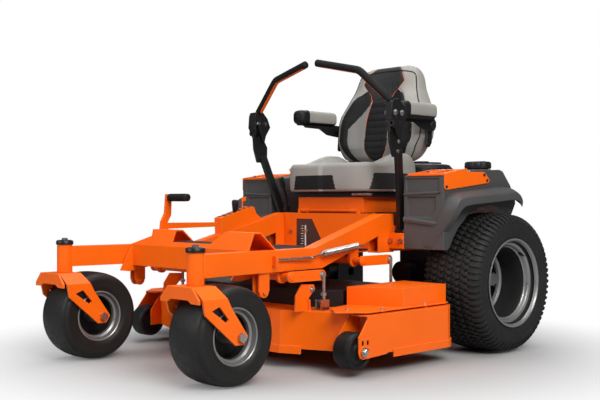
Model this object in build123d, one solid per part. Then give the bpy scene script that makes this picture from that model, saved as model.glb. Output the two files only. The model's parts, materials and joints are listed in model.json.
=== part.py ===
from build123d import *
import math
import os

# Zero turn mower, millimetres. While it is built, X points to the operator's left, Y to the rear,
# Z up, with X = 0 on the centre line and Y = 0 at the front caster wheels' axle. The finished
# nodes are then moved so that the origin is at the bottom centre of the whole machine's box.

# ---- driving dimensions ----
WHEELBASE = 1261
CASTER_HALF_TRACK = 393
DRIVE_HALF_TRACK = 564
REAR_END_Y = 1782
RUN_GAP = 0.05
BODY_GAP = 0.5
SHEET = 5

# Casters
CASTER_RADIUS = 165
CASTER_WIDTH = 165
CASTER_RIM_RADIUS = 92
CASTER_RIM_HALF = 68
CASTER_TRAIL = 107
CASTER_AXLE_RADIUS = 9.5
CASTER_TYRE_WALL = 12
CASTER_HUB_RADIUS = 24
FORK_SHEET = 8
FORK_HALF = CASTER_WIDTH / 2 + 14.5
STEM_RADIUS = 12.7
KINGPIN_RADIUS = 28.5
KINGPIN_BOTTOM = 333
KINGPIN_TOP = 438
CAP_HEIGHT = 14

# Drive wheels
DRIVE_RADIUS = 277
DRIVE_WIDTH = 268
DRIVE_RIM_RADIUS = 169
DRIVE_RIM_HALF = 120
DRIVE_TYRE_WALL = 18
DRIVE_SHAFT_RADIUS = 19
RIM_WINDOWS = 5
WINDOW_HALF_DEG = 21
DRIVE_DISC_X = 16
DRIVE_HUB_RADIUS = 75
HUB_CAP_RADIUS = 45
LUG_COUNT = 5
LUG_CIRCLE_RADIUS = 57

# Frame rails: outer face at the kingpin, and how fast the pair closes up to the rear
RAIL_WIDTH = 50
RAIL_HEIGHT = 75
RAIL_WALL = 5
RAIL_BOTTOM = 355
RAIL_BEND_Y = 473
RAIL_TOP_Y = 915
RAIL_TOP_Z = 549
RAIL_END_Y = 988
RAIL_FOOT_Z = 395
RAIL_CLOSING_DEG = 5.99
RAIL_START_Y = -91
SPRING_X = 347 + RAIL_WIDTH / 2
SIDE_BOLT_X = 295 + RAIL_WIDTH / 2

# Rear frame
REAR_RAIL_HALF = 262
REAR_RAIL_WIDTH = 40
REAR_RAIL_LOW = 395
REAR_RAIL_HIGH = 470
ENGINE_PLATE = 8
ENGINE_Y = 1460
STAY_Y = 1315
HITCH_RADIUS = 9.5
ACCESSORY_SPACING = 160
ACCESSORY_RISE = 60
ACCESSORY_HOLE = 5.5
TAIL_PLATE = 12

# Deck
DECK_HALF = 640
DECK_FRONT_Y = 352
DECK_REAR_Y = 950
DECK_TOP = 210
DECK_SKIRT_Z = 75
DECK_SIDE_FRONT_Y = 545
BLADE_RADIUS = 213
BLADE_SPACING = 410
BLADE_STAGGER = 140
BLADE_CENTRE_Y = 580
BLADE_Z = 95
SPINDLE_RADIUS = 12.5
PULLEY_RADIUS = 62
BELT_THICK = 9
COVER_TOP = 287
ROLLER_RADIUS = 64
ROLLER_WIDTH = 75
ROLLER_X = 590
ROLLER_Y = 417
ROLLER_PIN_RADIUS = 8
ROLLER_POCKET_X = 540
ROLLER_POCKET_Y = 450
CHUTE_FRONT_Y = 545
CHUTE_REAR_Y = 880
CHUTE_REACH = 215

# Deck lift
LIFT_SHAFT_RADIUS = 14
FRONT_SHAFT_Y = 313
FRONT_SHAFT_Z = 335
REAR_SHAFT_Y = 738
REAR_SHAFT_Z = 371
LIFT_ARM = 153
ARM_THICK = 10
ARM_HALF = 19
FRONT_ARM_X = 397
REAR_ARM_X = 354
LINK_RADIUS = 6
PEDAL_X = -288
PEDAL_TOP_Z = 614
ROLLER_PAD_RADIUS = 15.5
ROLLER_PAD_LENGTH = 107

# Controls
POST_BASE = (330, 1000, 475)
POST_TOP = (392, 905, 800)
POST_BOLT_RADIUS = 8
BAR_RADIUS = 16
SWING_PIVOT = (405, 872, 903)
BAR_POINTS = ((405, 872, 925), (386, 872, 990), (242, 844, 1123), (30, 818, 1170))

BRAKE_PIVOT = (-290, 958, 565)

# Seat
TRAY_HALF = 187
TRAY_FRONT_Y = 930
TRAY_BOTTOM = 553
TRAY_TOP = 617
HINGE_Y = TRAY_FRONT_Y - 7
HINGE_Z = TRAY_BOTTOM + 8
SEAT_HALF = 250
CUSHION_FRONT_Y = 897
CUSHION_REAR_Y = 1262
CUSHION_BOTTOM = 638
CUSHION_TOP = 768
BACK_TOP = 1190
BACK_HALF = 245
ARMREST_X = 307
ARMREST_WIDTH = 70
ARMREST_TIP_Y = 1018
ARMREST_PIVOT_Y = 1238
ARMREST_BOTTOM = 948
ARMREST_TOP = 1003

# Fender pods, which are the fuel tanks
POD_IN = 385
POD_OUT = 580
FLARE_OUT = 650
POD_FRONT_Y = 950
POD_REAR_Y = 1425
POD_LOW_Z = 412
POD_TOP_Z = 700
ARCH_CLEAR = 30
FUEL_CAP_X = 480
FUEL_CAP_Y = 1316
FUEL_NECK_RADIUS = 38
FUEL_NECK_TOP = 745
CUP_RADIUS = 42
CUP_DEPTH = 70
CUP_X = 498
CUP_Y = 1018


# ---- helpers ----
def block(x, y, z):
    """A box from its low and high X, Y and Z."""
    size = [high - low for low, high in (x, y, z)]
    middle = [(high + low) / 2 for low, high in (x, y, z)]
    return Pos(*middle) * Box(*size)


def prism(points, axis, low, high):
    """An outline in the two other axes, extruded along axis from low to high."""
    corners = {
        "x": [(low, a, b) for a, b in points],
        "y": [(a, low, b) for a, b in points],
        "z": [(a, b, low) for a, b in points],
    }[axis]
    along = {"x": (1, 0, 0), "y": (0, 1, 0), "z": (0, 0, 1)}[axis]
    face = Face(Wire.make_polygon([Vector(*corner) for corner in corners], close=True))
    return extrude(face, amount=high - low, dir=along)


def rod(start, end, radius):
    """A round bar between two points."""
    start, end = Vector(*start), Vector(*end)
    run = end - start
    return Plane(origin=start, z_dir=run) * Cylinder(
        radius, run.length, align=(Align.CENTER, Align.CENTER, Align.MIN)
    )


def ring(start, end, radius, bore):
    """A round tube between two points."""
    return rod(start, end, radius) - rod(start, end, bore)


def hexagon(start, end, radius):
    """A hexagonal bar, for bolt heads and nuts, between two points."""
    start, end = Vector(*start), Vector(*end)
    run = end - start
    return extrude(Plane(origin=start, z_dir=run) * RegularPolygon(radius, 6), run.length)


def pipe(points, radius, bend, wall=0):
    """A bent round tube or bar along points."""
    path = FilletPolyline(*points, radius=bend)
    section = Circle(radius) - Circle(radius - wall) if wall else Circle(radius)
    return sweep(Plane(origin=path @ 0, z_dir=path % 0) * section, path)


def mirrored(shape):
    """The same piece on the operator's other side."""
    return mirror(shape, about=Plane.YZ)


def both(shape):
    """The piece and its mirror image, as one node."""
    return group(shape, mirrored(shape))


def group(*shapes):
    return Compound(children=[solid for shape in shapes for solid in shape.solids()])


def polar(radius, degrees):
    """A point on a circle, as its two coordinates."""
    return (radius * math.cos(math.radians(degrees)), radius * math.sin(math.radians(degrees)))


# ---- wheels, made about the X axis and then put in place ----
def tyre(radius, width, bore, wall, corner):
    height = radius - bore
    corner = min(corner, 0.47 * height)
    outer = Pos(0, bore + height / 2) * RectangleRounded(width, height, corner)
    cavity_height = height - wall
    cavity = Pos(0, bore + cavity_height / 2 - wall) * RectangleRounded(
        width - 2 * wall, cavity_height, corner - wall
    )
    mouth = Pos(0, bore) * Rectangle(width - 4 * wall, 4 * wall)
    return revolve(Plane.XZ * (outer - cavity - mouth), Axis.X)


def rim(radius, half, disc_x, wall, hub_radius):
    """A barrel and a disc with a window between each pair of spokes."""
    barrel = ring((-half, 0, 0), (half, 0, 0), radius, radius - wall)
    disc = rod((disc_x - wall, 0, 0), (disc_x + wall, 0, 0), radius - wall / 2)
    outer_reach, inner_reach = radius * 0.78, hub_radius + (radius - hub_radius) * 0.2
    for index in range(RIM_WINDOWS):
        turn = 360 * (index + 0.5) / RIM_WINDOWS
        corners = [
            polar(outer_reach, turn - WINDOW_HALF_DEG), polar(outer_reach, turn + WINDOW_HALF_DEG),
            polar(inner_reach, turn + WINDOW_HALF_DEG * 0.4),
            polar(inner_reach, turn - WINDOW_HALF_DEG * 0.4),
        ]
        disc -= prism(corners, "x", disc_x - 2 * wall, disc_x + 2 * wall)
    return barrel + disc


def caster_wheel():
    plain = rim(CASTER_RIM_RADIUS, CASTER_RIM_HALF, 0, 4, CASTER_HUB_RADIUS)
    hub_half = FORK_HALF - FORK_SHEET - 1
    hub = rod((-hub_half, 0, 0), (hub_half, 0, 0), CASTER_HUB_RADIUS)
    wheel_rim = plain + hub - rod((-hub_half, 0, 0), (hub_half, 0, 0), CASTER_AXLE_RADIUS + RUN_GAP)
    rubber = tyre(CASTER_RADIUS, CASTER_WIDTH, CASTER_RIM_RADIUS, CASTER_TYRE_WALL, 34)
    return rubber, wheel_rim


def drive_wheel():
    """The tyre, and the rim with its hub, shaft and wheel bolts."""
    plain = rim(DRIVE_RIM_RADIUS, DRIVE_RIM_HALF, DRIVE_DISC_X, 5, DRIVE_HUB_RADIUS)
    hub = rod((DRIVE_DISC_X - 40, 0, 0), (DRIVE_DISC_X + 10, 0, 0), HUB_CAP_RADIUS)
    shaft = rod((-(DRIVE_HALF_TRACK - 320), 0, 0), (DRIVE_DISC_X, 0, 0), DRIVE_SHAFT_RADIUS)
    wheel_rim = plain + hub + shaft
    for index in range(LUG_COUNT):
        angle = 2 * math.pi * index / LUG_COUNT
        y, z = LUG_CIRCLE_RADIUS * math.cos(angle), LUG_CIRCLE_RADIUS * math.sin(angle)
        wheel_rim += hexagon((DRIVE_DISC_X, y, z), (DRIVE_DISC_X + 18, y, z), 10)
    rubber = tyre(DRIVE_RADIUS, DRIVE_WIDTH, DRIVE_RIM_RADIUS, DRIVE_TYRE_WALL, 46)
    return rubber, wheel_rim


# ---- caster fork: bent sheet, a leg each side and a stem ----
def caster_fork():
    """Two sloping shoulders run from the top plate into the legs, like one bent sheet."""
    top = KINGPIN_BOTTOM - 1
    shoulder_x, shoulder_z = FORK_HALF - 35, top - 38
    foot = 120
    outer = (
        (-FORK_HALF, foot), (-FORK_HALF, shoulder_z), (-shoulder_x, top), (shoulder_x, top),
        (FORK_HALF, shoulder_z), (FORK_HALF, foot),
    )
    inner_half, inner_top = FORK_HALF - FORK_SHEET, top - FORK_SHEET
    inner = (
        (-inner_half, foot - 1), (-inner_half, shoulder_z - 3), (-shoulder_x + 3, inner_top),
        (shoulder_x - 3, inner_top), (inner_half, shoulder_z - 3), (inner_half, foot - 1),
    )
    side_view = (
        (-165, top), (-150, 270), (-144, 245), (-21, 141), (14, 141), (31, 167), (-37, 261), (-76, top),
    )
    hole = ((-119, 258), (-87, 270), (-49, 226), (-60, 216))
    band = prism(outer, "y", -165, 40) - prism(inner, "y", -166, 41)
    fork = band & prism(side_view, "x", -FORK_HALF, FORK_HALF)
    fork -= prism(hole, "x", -FORK_HALF - 1, FORK_HALF + 1)
    apron = prism(
        ((-FORK_HALF, shoulder_z), (-shoulder_x, top), (shoulder_x, top), (FORK_HALF, shoulder_z),
         (FORK_HALF, 281), (60, 282), (44, 292), (-44, 292), (-60, 282), (-FORK_HALF, 281)),
        "y", -173, -165,
    )
    axle_line = ((-FORK_HALF - 5, 0, CASTER_RADIUS), (FORK_HALF + 5, 0, CASTER_RADIUS))
    stem = rod((0, -CASTER_TRAIL, top - 4), (0, -CASTER_TRAIL, KINGPIN_TOP + BODY_GAP + 2), STEM_RADIUS)
    return fork + apron + stem - rod(*axle_line, CASTER_AXLE_RADIUS)


def caster_hardware():
    """The wheel's axle bolt with its nuts, and the cap and nut on the kingpin."""
    end = FORK_HALF + 3
    axle = rod((-end, 0, CASTER_RADIUS), (end, 0, CASTER_RADIUS), CASTER_AXLE_RADIUS)
    heads = [
        hexagon(
            (side * FORK_HALF, 0, CASTER_RADIUS), (side * (FORK_HALF + 13), 0, CASTER_RADIUS), 16
        )
        for side in (-1, 1)
    ]
    low = KINGPIN_TOP + BODY_GAP
    cap = rod((0, -CASTER_TRAIL, low), (0, -CASTER_TRAIL, low + CAP_HEIGHT), KINGPIN_RADIUS)
    cap -= rod((0, -CASTER_TRAIL, low), (0, -CASTER_TRAIL, low + 2), STEM_RADIUS)
    nut = hexagon(
        (0, -CASTER_TRAIL, low + CAP_HEIGHT), (0, -CASTER_TRAIL, low + CAP_HEIGHT + 8), 11
    )
    return group(axle + heads[0] + heads[1], cap + nut)


# ---- frame rail: straight at the front, then a riser, closing inward to the rear ----
def rail_place(shape):
    angle = Rot(0, 0, RAIL_CLOSING_DEG)
    start = Pos(CASTER_HALF_TRACK + RAIL_WIDTH / 2, RAIL_START_Y, 0)
    return start * angle * Pos(0, -RAIL_START_Y, 0) * shape


def rail_outline(inset):
    top = RAIL_BOTTOM + RAIL_HEIGHT
    slope = (RAIL_TOP_Z - top) / (RAIL_TOP_Y - RAIL_BEND_Y)
    drop = RAIL_HEIGHT * math.sqrt(1 + slope * slope)
    foot_y = RAIL_TOP_Y - 35
    return (
        (RAIL_START_Y, RAIL_BOTTOM + inset),
        (RAIL_BEND_Y + 45, RAIL_BOTTOM + inset),
        (foot_y, RAIL_TOP_Z - 35 * slope - drop + inset),
        (foot_y, RAIL_FOOT_Z + inset),
        (RAIL_END_Y - inset, RAIL_FOOT_Z + inset),
        (RAIL_END_Y - inset, RAIL_TOP_Z - inset),
        (RAIL_TOP_Y, RAIL_TOP_Z - inset),
        (RAIL_BEND_Y, top - inset),
        (RAIL_START_Y, top - inset),
    )


def rail_centre_x(y):
    """The X of a rail's middle plane at Y."""
    return CASTER_HALF_TRACK - (y - RAIL_START_Y) * math.tan(math.radians(RAIL_CLOSING_DEG))


def shaft_hanger(y, z, top):
    x = rail_centre_x(y)
    radius = LIFT_SHAFT_RADIUS + 10
    plate = block((x - 6, x + 6), (y - radius, y + radius), (z, top))
    plate += rod((x - 6, y, z), (x + 6, y, z), radius)
    return plate - rod((x - 20, y, z), (x + 20, y, z), LIFT_SHAFT_RADIUS + RUN_GAP)


def frame_rail():
    outer = rail_place(prism(rail_outline(0), "x", -RAIL_WIDTH, 0))
    inner = rail_place(prism(rail_outline(RAIL_WALL), "x", -RAIL_WIDTH + RAIL_WALL, -RAIL_WALL))
    kingpin = rod(
        (CASTER_HALF_TRACK, -CASTER_TRAIL, KINGPIN_BOTTOM),
        (CASTER_HALF_TRACK, -CASTER_TRAIL, KINGPIN_TOP),
        KINGPIN_RADIUS,
    )
    bore = rod(
        (CASTER_HALF_TRACK, -CASTER_TRAIL, KINGPIN_BOTTOM - 5),
        (CASTER_HALF_TRACK, -CASTER_TRAIL, KINGPIN_TOP + 5),
        STEM_RADIUS + RUN_GAP,
    )
    hangers = shaft_hanger(FRONT_SHAFT_Y, FRONT_SHAFT_Z, RAIL_BOTTOM)
    hangers += shaft_hanger(REAR_SHAFT_Y, REAR_SHAFT_Z, RAIL_BOTTOM + 62)
    for x in (rail_centre_x(205) - 14, rail_centre_x(205) + 14):
        strap = block((x - 3, x + 3), (180, 228), (290, RAIL_BOTTOM))
        strap += rod((x - 3, 204, 290), (x + 3, 204, 290), 21)
        hangers += strap
    hangers += rod((rail_centre_x(205) - 24, 204, 286), (rail_centre_x(205) + 24, 204, 286), 7)
    anchor = block(
        (rail_centre_x(240) + RAIL_WIDTH / 2 - 1, rail_centre_x(240) + RAIL_WIDTH / 2 + 22),
        (236, 246), (378, 412),
    )
    return outer - inner + kingpin + hangers + anchor - bore


# ---- nose: a formed plate duct between the rails ----
def nose_crossmember(rails):
    front_z, notch_z, crest_z = 430, 447, 492
    outline = ((156, 350), (156, front_z), (180, crest_z), (215, crest_z), (285, 432), (285, 350))
    hollow = (
        (156 + SHEET, 350 + SHEET), (156 + SHEET, front_z), (180 + SHEET, crest_z - SHEET),
        (213, crest_z - SHEET), (285 - SHEET, 430), (285 - SHEET, 350 + SHEET),
    )
    half = 350
    silhouette = (
        (-half, 340), (-half, front_z), (-222, 467), (-228, crest_z), (-85, crest_z), (-85, notch_z),
        (140, notch_z), (203, crest_z), (half, crest_z), (half, 340),
    )
    duct = prism(outline, "x", -half, half) - prism(hollow, "x", -half - 1, half + 1)
    duct = duct & prism(silhouette, "y", 100, 300)
    notch_cover = block((-85, 140), (165, 265), (notch_z - SHEET, notch_z))
    gusset_outline = ((98, 332), (136, 327), (262, 346), (262, 400), (208, 424), (150, 424))
    gusset_x = rail_centre_x(180) - RAIL_WIDTH / 2 - 8
    slot = block((PEDAL_X - 12, PEDAL_X + 12), (175, 300), (360, 500))
    gusset = prism(gusset_outline, "x", gusset_x - 6, gusset_x)
    whole = duct + notch_cover + gusset + mirrored(gusset) - slot
    for rail in rails:
        whole -= rail
    return whole


# ---- floor, mat and seat panel ----
def floor_edge(y):
    return rail_centre_x(y) - RAIL_WIDTH / 2 - 1


def floor_pan():
    front, rear, low = 340, 914, 398
    corners = (
        (-floor_edge(front), front), (floor_edge(front), front),
        (floor_edge(rear), rear), (-floor_edge(rear), rear),
    )
    return prism(corners, "z", low, low + 4)


def foot_mat():
    front, rear, low = 350, 880, 402
    edge = 14
    corners = (
        (-floor_edge(front) + edge, front), (floor_edge(front) - edge, front),
        (floor_edge(rear) - edge, rear), (-floor_edge(rear) + edge, rear),
    )
    return prism(corners, "z", low, low + 8)


def seat_panel():
    half = floor_edge(RAIL_TOP_Y + 15)
    panel = block((-half, half), (RAIL_TOP_Y, RAIL_TOP_Y + 15), (402, RAIL_TOP_Z))
    slot = block((-144, -134), (900, 950), (405, 490))
    return panel - slot


# ---- rear frame, guard, engine and drives ----
def rear_frame(rails):
    low, high = REAR_RAIL_LOW, REAR_RAIL_HIGH
    inner = REAR_RAIL_HALF - REAR_RAIL_WIDTH
    side = block((inner, REAR_RAIL_HALF), (RAIL_TOP_Y + 16, REAR_END_Y - 42), (low, high))
    side -= block(
        (inner + RAIL_WALL, REAR_RAIL_HALF - RAIL_WALL), (0, 2 * REAR_END_Y),
        (low + RAIL_WALL, high - RAIL_WALL),
    )
    cross = block((-inner, inner), (1010, 1060), (low, high))
    hollow = (1010 + RAIL_WALL, 1060 - RAIL_WALL)
    cross -= block((-inner, inner), hollow, (low + RAIL_WALL, high - RAIL_WALL))
    plate = block((-inner, inner), (1290, REAR_END_Y - 42 - TAIL_PLATE), (high - ENGINE_PLATE, high))
    tail = block((-inner, inner), (REAR_END_Y - 42 - TAIL_PLATE, REAR_END_Y - 42), (low - 40, high))
    holes = [(0, low + 20, HITCH_RADIUS)]
    for x in (-ACCESSORY_SPACING / 2, ACCESSORY_SPACING / 2):
        holes += [(x, low - 20, ACCESSORY_HOLE), (x, low - 20 + ACCESSORY_RISE, ACCESSORY_HOLE)]
    upright = block((inner, REAR_RAIL_HALF), (STAY_Y - 15, STAY_Y + 15), (high, 690))
    bracket = block((REAR_RAIL_HALF, POD_IN - 1), (948, 956), (411, 473))
    ear = block((REAR_RAIL_HALF, POD_IN - 1), (956, 1040), (411, 419))
    post_ear = block((300, 312), (975, 1025), (419, 500))
    post_ear -= rod((290, *POST_BASE[1:]), (330, *POST_BASE[1:]), POST_BOLT_RADIUS + RUN_GAP)
    arms = bracket + ear + post_ear
    whole = side + mirrored(side) + cross + plate + tail + upright + mirrored(upright)
    whole += arms + mirrored(arms)
    for x, z, radius in holes:
        whole -= rod((x, REAR_END_Y - 80, z), (x, REAR_END_Y, z), radius)
    for rail in rails:
        whole -= rail
    return whole


def rear_guard():
    half, top, low = 330, 700, REAR_RAIL_HIGH + 14
    y = REAR_END_Y - 20
    hoop = pipe(
        [(-half, y - 20, low - 60), (-half, y - 10, 640), (-half + 50, y, top), (half - 50, y, top),
         (half, y - 10, 640), (half, y - 20, low - 60)],
        19, 40, 3,
    )
    bar = ring((-half + 17, y - 18, 560), (half - 17, y - 18, 560), 15, 12)
    foot = block((REAR_RAIL_HALF, half + 8), (y - 48, y - 34), (low - 66, low - 6))
    link = block((half - 8, half + 8), (y - 48, y - 18), (low - 66, low - 40))
    return hoop + bar + foot + link + mirrored(foot + link)


def engine_block():
    crank = rod((0, ENGINE_Y, REAR_RAIL_HIGH), (0, ENGINE_Y, 550), 150)
    crank += block((-130, 130), (ENGINE_Y - 110, ENGINE_Y + 115), (REAR_RAIL_HIGH, 550))
    heads = Part()
    for side in (-1, 1):
        head = block((-70, 70), (-60, 60), (-48, 48))
        heads += Pos(side * 150, ENGINE_Y - 60, 590) * Rot(0, 0, side * 45) * head
    return crank + heads + block((-150, 150), (ENGINE_Y - 120, ENGINE_Y + 120), (545, 640))


def engine_shroud():
    y = ENGINE_Y + 70
    base = rod((0, y, 641), (0, y, 700), 180) + block((-175, 175), (y - 130, y), (641, 700))
    dome = rod((0, y + 20, 700), (0, y + 20, 770), 145)
    return base + dome + rod((0, y + 20, 770), (0, y + 20, 785), 110)


def muffler():
    y = ENGINE_Y + 203
    body = rod((-150, y, 540), (150, y, 540), 44)
    pipes = [rod((side * 90, y, 540), (side * 90, ENGINE_Y + 131, 600), 14) for side in (-1, 1)]
    outlet = rod((110, y + 20, 540), (110, y + 60, 520), 16)
    stand = block((-30, 30), (y - 15, y + 15), (REAR_RAIL_HIGH, 500))
    return body + pipes[0] + pipes[1] + outlet + stand


def transaxle():
    """Wheel motor, gear case and pump for one side."""
    axle_z = DRIVE_RADIUS
    motor = rod((300, WHEELBASE, axle_z), (415, WHEELBASE, axle_z), 62)
    case = block((180, 300), (1175, 1345), (225, 392))
    pump = rod((230, 1210, 300), (230, 1120, 300), 48)
    bore = rod((100, WHEELBASE, axle_z), (600, WHEELBASE, axle_z), DRIVE_SHAFT_RADIUS + RUN_GAP)
    return motor + case + pump - bore


# ---- deck ----
def deck_outline(inset):
    """The skirt's outline on the ground plan, drawn in at the front for the rollers."""
    side, front, rear = DECK_HALF - inset, DECK_FRONT_Y + inset, DECK_REAR_Y - inset
    pocket = ROLLER_POCKET_X - inset
    half = (
        (300, front), (pocket, ROLLER_POCKET_Y + inset), (pocket, 505 + inset * 0.5),
        (side, DECK_SIDE_FRONT_Y + inset), (side, 893), (side - 9, 918), (side - 30, rear - 4),
        (side - 60, rear),
    )
    return half + tuple((-x, y) for x, y in reversed(half))


def blade_places():
    """The three spindles' X and Y."""
    return {
        "left": (BLADE_SPACING, BLADE_CENTRE_Y + BLADE_STAGGER),
        "centre": (0, BLADE_CENTRE_Y),
        "right": (-BLADE_SPACING, BLADE_CENTRE_Y + BLADE_STAGGER),
    }


def roller_bracket():
    outline = (
        (397, 140), (443, 198), (443, DECK_TOP), (DECK_SIDE_FRONT_Y, DECK_TOP), (DECK_SIDE_FRONT_Y, 71),
        (418, 64), (404, 70), (397, 84),
    )
    plate = prism(outline, "x", DECK_HALF - SHEET, DECK_HALF)
    for y, z in ((417, 119), (443, 119), (443, 90)):
        plate -= block((DECK_HALF - 20, DECK_HALF + 20), (y - 6, y + 6), (z - 8, z + 8))
    inner_outline = ((399, 139), (452, 201), (452, DECK_TOP), (505, DECK_TOP), (505, 75), (399, 75))
    inner = prism(inner_outline, "x", ROLLER_POCKET_X, ROLLER_POCKET_X + SHEET)
    pin = rod((ROLLER_POCKET_X, ROLLER_Y, 90), (DECK_HALF + 3, ROLLER_Y, 90), ROLLER_PIN_RADIUS)
    head = rod((DECK_HALF, ROLLER_Y, 90), (DECK_HALF + 8, ROLLER_Y, 90), 16)
    return plate + inner + pin + head


def deck_bracket():
    """The tall bracket at the front of the deck that the front link reaches."""
    outline = ((346, DECK_TOP), (349, 266), (379, 305), (438, 302), (444, 285), (412, 255), (405, DECK_TOP))
    return prism(outline, "x", 380, 387) + block((384, 396), (405, 412), (DECK_TOP, 250))


def deck_shell():
    skirt = prism(deck_outline(0), "z", DECK_SKIRT_Z, DECK_TOP)
    skirt -= prism(deck_outline(SHEET), "z", DECK_SKIRT_Z - 10, DECK_TOP - SHEET)
    flange_outline = (
        (-DECK_HALF, 443), (-ROLLER_POCKET_X - 20, 443), (-ROLLER_POCKET_X, 505), (-DECK_HALF, 545),
    )
    flange = prism(flange_outline, "z", DECK_TOP - SHEET, DECK_TOP)
    lip = prism(deck_outline(-4), "z", DECK_SKIRT_Z - 18, DECK_SKIRT_Z + 10)
    lip -= prism(deck_outline(0), "z", 0, DECK_TOP)
    lip -= block((-DECK_HALF - 20, DECK_HALF + 20), (380, DECK_SIDE_FRONT_Y + 30), (0, DECK_TOP))
    bracket = roller_bracket() + deck_bracket()
    whole = skirt + flange + mirrored(flange) + lip + bracket + mirrored(bracket)
    whole -= block((-DECK_HALF - 30, -DECK_HALF + 30), (CHUTE_FRONT_Y + 25, CHUTE_REAR_Y - 25), (85, 196))
    whole -= block((-DECK_HALF - 30, -DECK_HALF), (CHUTE_FRONT_Y, CHUTE_REAR_Y), (0, 100))
    for x, y in blade_places().values():
        whole -= rod((x, y, 0), (x, y, 400), 36)
    hinge_x, hinge_z = -DECK_HALF - 9, DECK_TOP - 3
    hinge = rod((hinge_x, CHUTE_FRONT_Y, hinge_z), (hinge_x, CHUTE_REAR_Y, hinge_z), 4)
    lugs = [
        block((-DECK_HALF - 12, -DECK_HALF), (y - 6, y + 6), (DECK_TOP - 12, DECK_TOP))
        for y in (CHUTE_FRONT_Y + 6, CHUTE_REAR_Y - 6)
    ]
    return whole + hinge + lugs[0] + lugs[1]


def cover_shell(outline, low, high):
    body = prism(outline, "z", low, high)
    middle_x = sum(x for x, _ in outline) / len(outline)
    middle_y = sum(y for _, y in outline) / len(outline)
    spans = [max(p[i] for p in outline) - min(p[i] for p in outline) for i in (0, 1)]
    shrink = [(span - 2 * SHEET) / span for span in spans]
    inner = [
        (middle_x + (x - middle_x) * shrink[0], middle_y + (y - middle_y) * shrink[1]) for x, y in outline
    ]
    return body - prism(inner, "z", low - 1, high - SHEET)


def belt_cover():
    """A raised cover on a base plate that stands a little above the deck."""
    outline = ((414, 583), (611, 668), (599, 935), (392, 940))
    base_outline = (
        (432, 505), (440, 470), (545, 378), (626, 464), (618, 905), (606, 940), (392, 940), (414, 583),
    )
    low, high = DECK_TOP + 6, DECK_TOP + 10
    base = prism(base_outline, "z", low, high) - prism(outline, "z", low - 1, high + 1)
    open_side = block((380, 425), (605, 920), (DECK_TOP - 1, COVER_TOP - 24))
    spacers = Part()
    for x, y in ((520, 470), (605, 560), (606, 800)):
        spacers += rod((x, y, DECK_TOP), (x, y, low + 1), 8)
    return cover_shell(outline, low, COVER_TOP) - open_side + base + spacers


def centre_cover():
    left = ((300, 500), (395, 583), (390, 850), (335, 850), (335, 935))
    outline = left + tuple((-x, y) for x, y in reversed(left))
    open_sides = block((-400, 400), (605, 840), (DECK_TOP - 1, COVER_TOP - 24))
    return cover_shell(outline, DECK_TOP, COVER_TOP - 16) - open_sides


def spindle_housings():
    shapes = []
    for x, y in blade_places().values():
        housing = rod((x, y, 128), (x, y, DECK_TOP + 8), 36)
        flange = ring((x, y, DECK_TOP), (x, y, DECK_TOP + 8), 60, 30)
        hollow = rod((x, y, 100), (x, y, 400), SPINDLE_RADIUS + RUN_GAP)
        shapes.append(housing + flange - hollow)
    return group(*shapes)


def blade_set(x, y):
    """Blade, spindle shaft and pulley, which turn as one."""
    shaft = rod((x, y, BLADE_Z - 12), (x, y, 262), SPINDLE_RADIUS)
    blade = block((x - BLADE_RADIUS + 3, x + BLADE_RADIUS - 3), (y - 30, y + 30), (BLADE_Z, BLADE_Z + 6))
    for side in (-1, 1):
        near, far = sorted((x + side * (BLADE_RADIUS - 90), x + side * (BLADE_RADIUS - 8)))
        edge = sorted((y - side * 30, y - side * 18))
        blade += block((near, far), edge, (BLADE_Z + 6, BLADE_Z + 22))
    collar = rod((x, y, BLADE_Z + 6), (x, y, 127), 26)
    pulley = rod((x, y, 222), (x, y, 250), PULLEY_RADIUS - 12)
    for z in (222, 246):
        pulley += rod((x, y, z), (x, y, z + 4), PULLEY_RADIUS)
    nut = hexagon((x, y, BLADE_Z - 20), (x, y, BLADE_Z), 19)
    return shaft + blade + collar + pulley + nut


def deck_belt():
    inner = PULLEY_RADIUS - 12 + BODY_GAP
    loops = []
    for radius in (inner + BELT_THICK, inner):
        circles = [Pos(x, y) * Circle(radius) for x, y in blade_places().values()]
        edges = [edge for circle in circles for edge in circle.edges()]
        loops.append(extrude(Pos(0, 0, 230) * make_hull(edges), 12))
    return loops[0] - loops[1]


def anti_scalp_wheel():
    start, end = ROLLER_X - ROLLER_WIDTH / 2, ROLLER_X + ROLLER_WIDTH / 2
    roller = rod((start, ROLLER_Y, 90), (end, ROLLER_Y, 90), ROLLER_RADIUS)
    roller = fillet(roller.edges(), 14)
    return roller - rod((start, ROLLER_Y, 90), (end, ROLLER_Y, 90), ROLLER_PIN_RADIUS + RUN_GAP)


def discharge_chute():
    hinge = (-DECK_HALF - 9, DECK_TOP - 3)
    start, end = hinge[0], -DECK_HALF - CHUTE_REACH
    front, rear = CHUTE_FRONT_Y + 14, CHUTE_REAR_Y - 14
    top = prism(((start, DECK_TOP), (start, DECK_TOP + 6), (end, 126), (end, 120)), "y", front, rear)
    cheek_outline = ((start - 3, DECK_TOP + 2), (end, 124), (end, 85), (start - 3, 85))
    cheeks = [
        prism(cheek_outline, "y", y, y + 5)
        for y in (front, rear - 5)
    ]
    barrel = rod((hinge[0], front, hinge[1]), (hinge[0], rear, hinge[1]), 9)
    pin = rod((hinge[0], front - 9, hinge[1]), (hinge[0], rear + 9, hinge[1]), 4 + RUN_GAP)
    return top + cheeks[0] + cheeks[1] + barrel - pin


# ---- deck lift ----
def lift_arm(x, y, z):
    """A flat arm with round ends."""
    low, high = x - ARM_THICK / 2, x + ARM_THICK / 2
    bar = block((low, high), (y, y + LIFT_ARM), (z - ARM_HALF, z + ARM_HALF))
    tip_y = y + LIFT_ARM
    return bar + rod((low, y, z), (high, y, z), ARM_HALF) + rod((low, tip_y, z), (high, tip_y, z), ARM_HALF)


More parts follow.
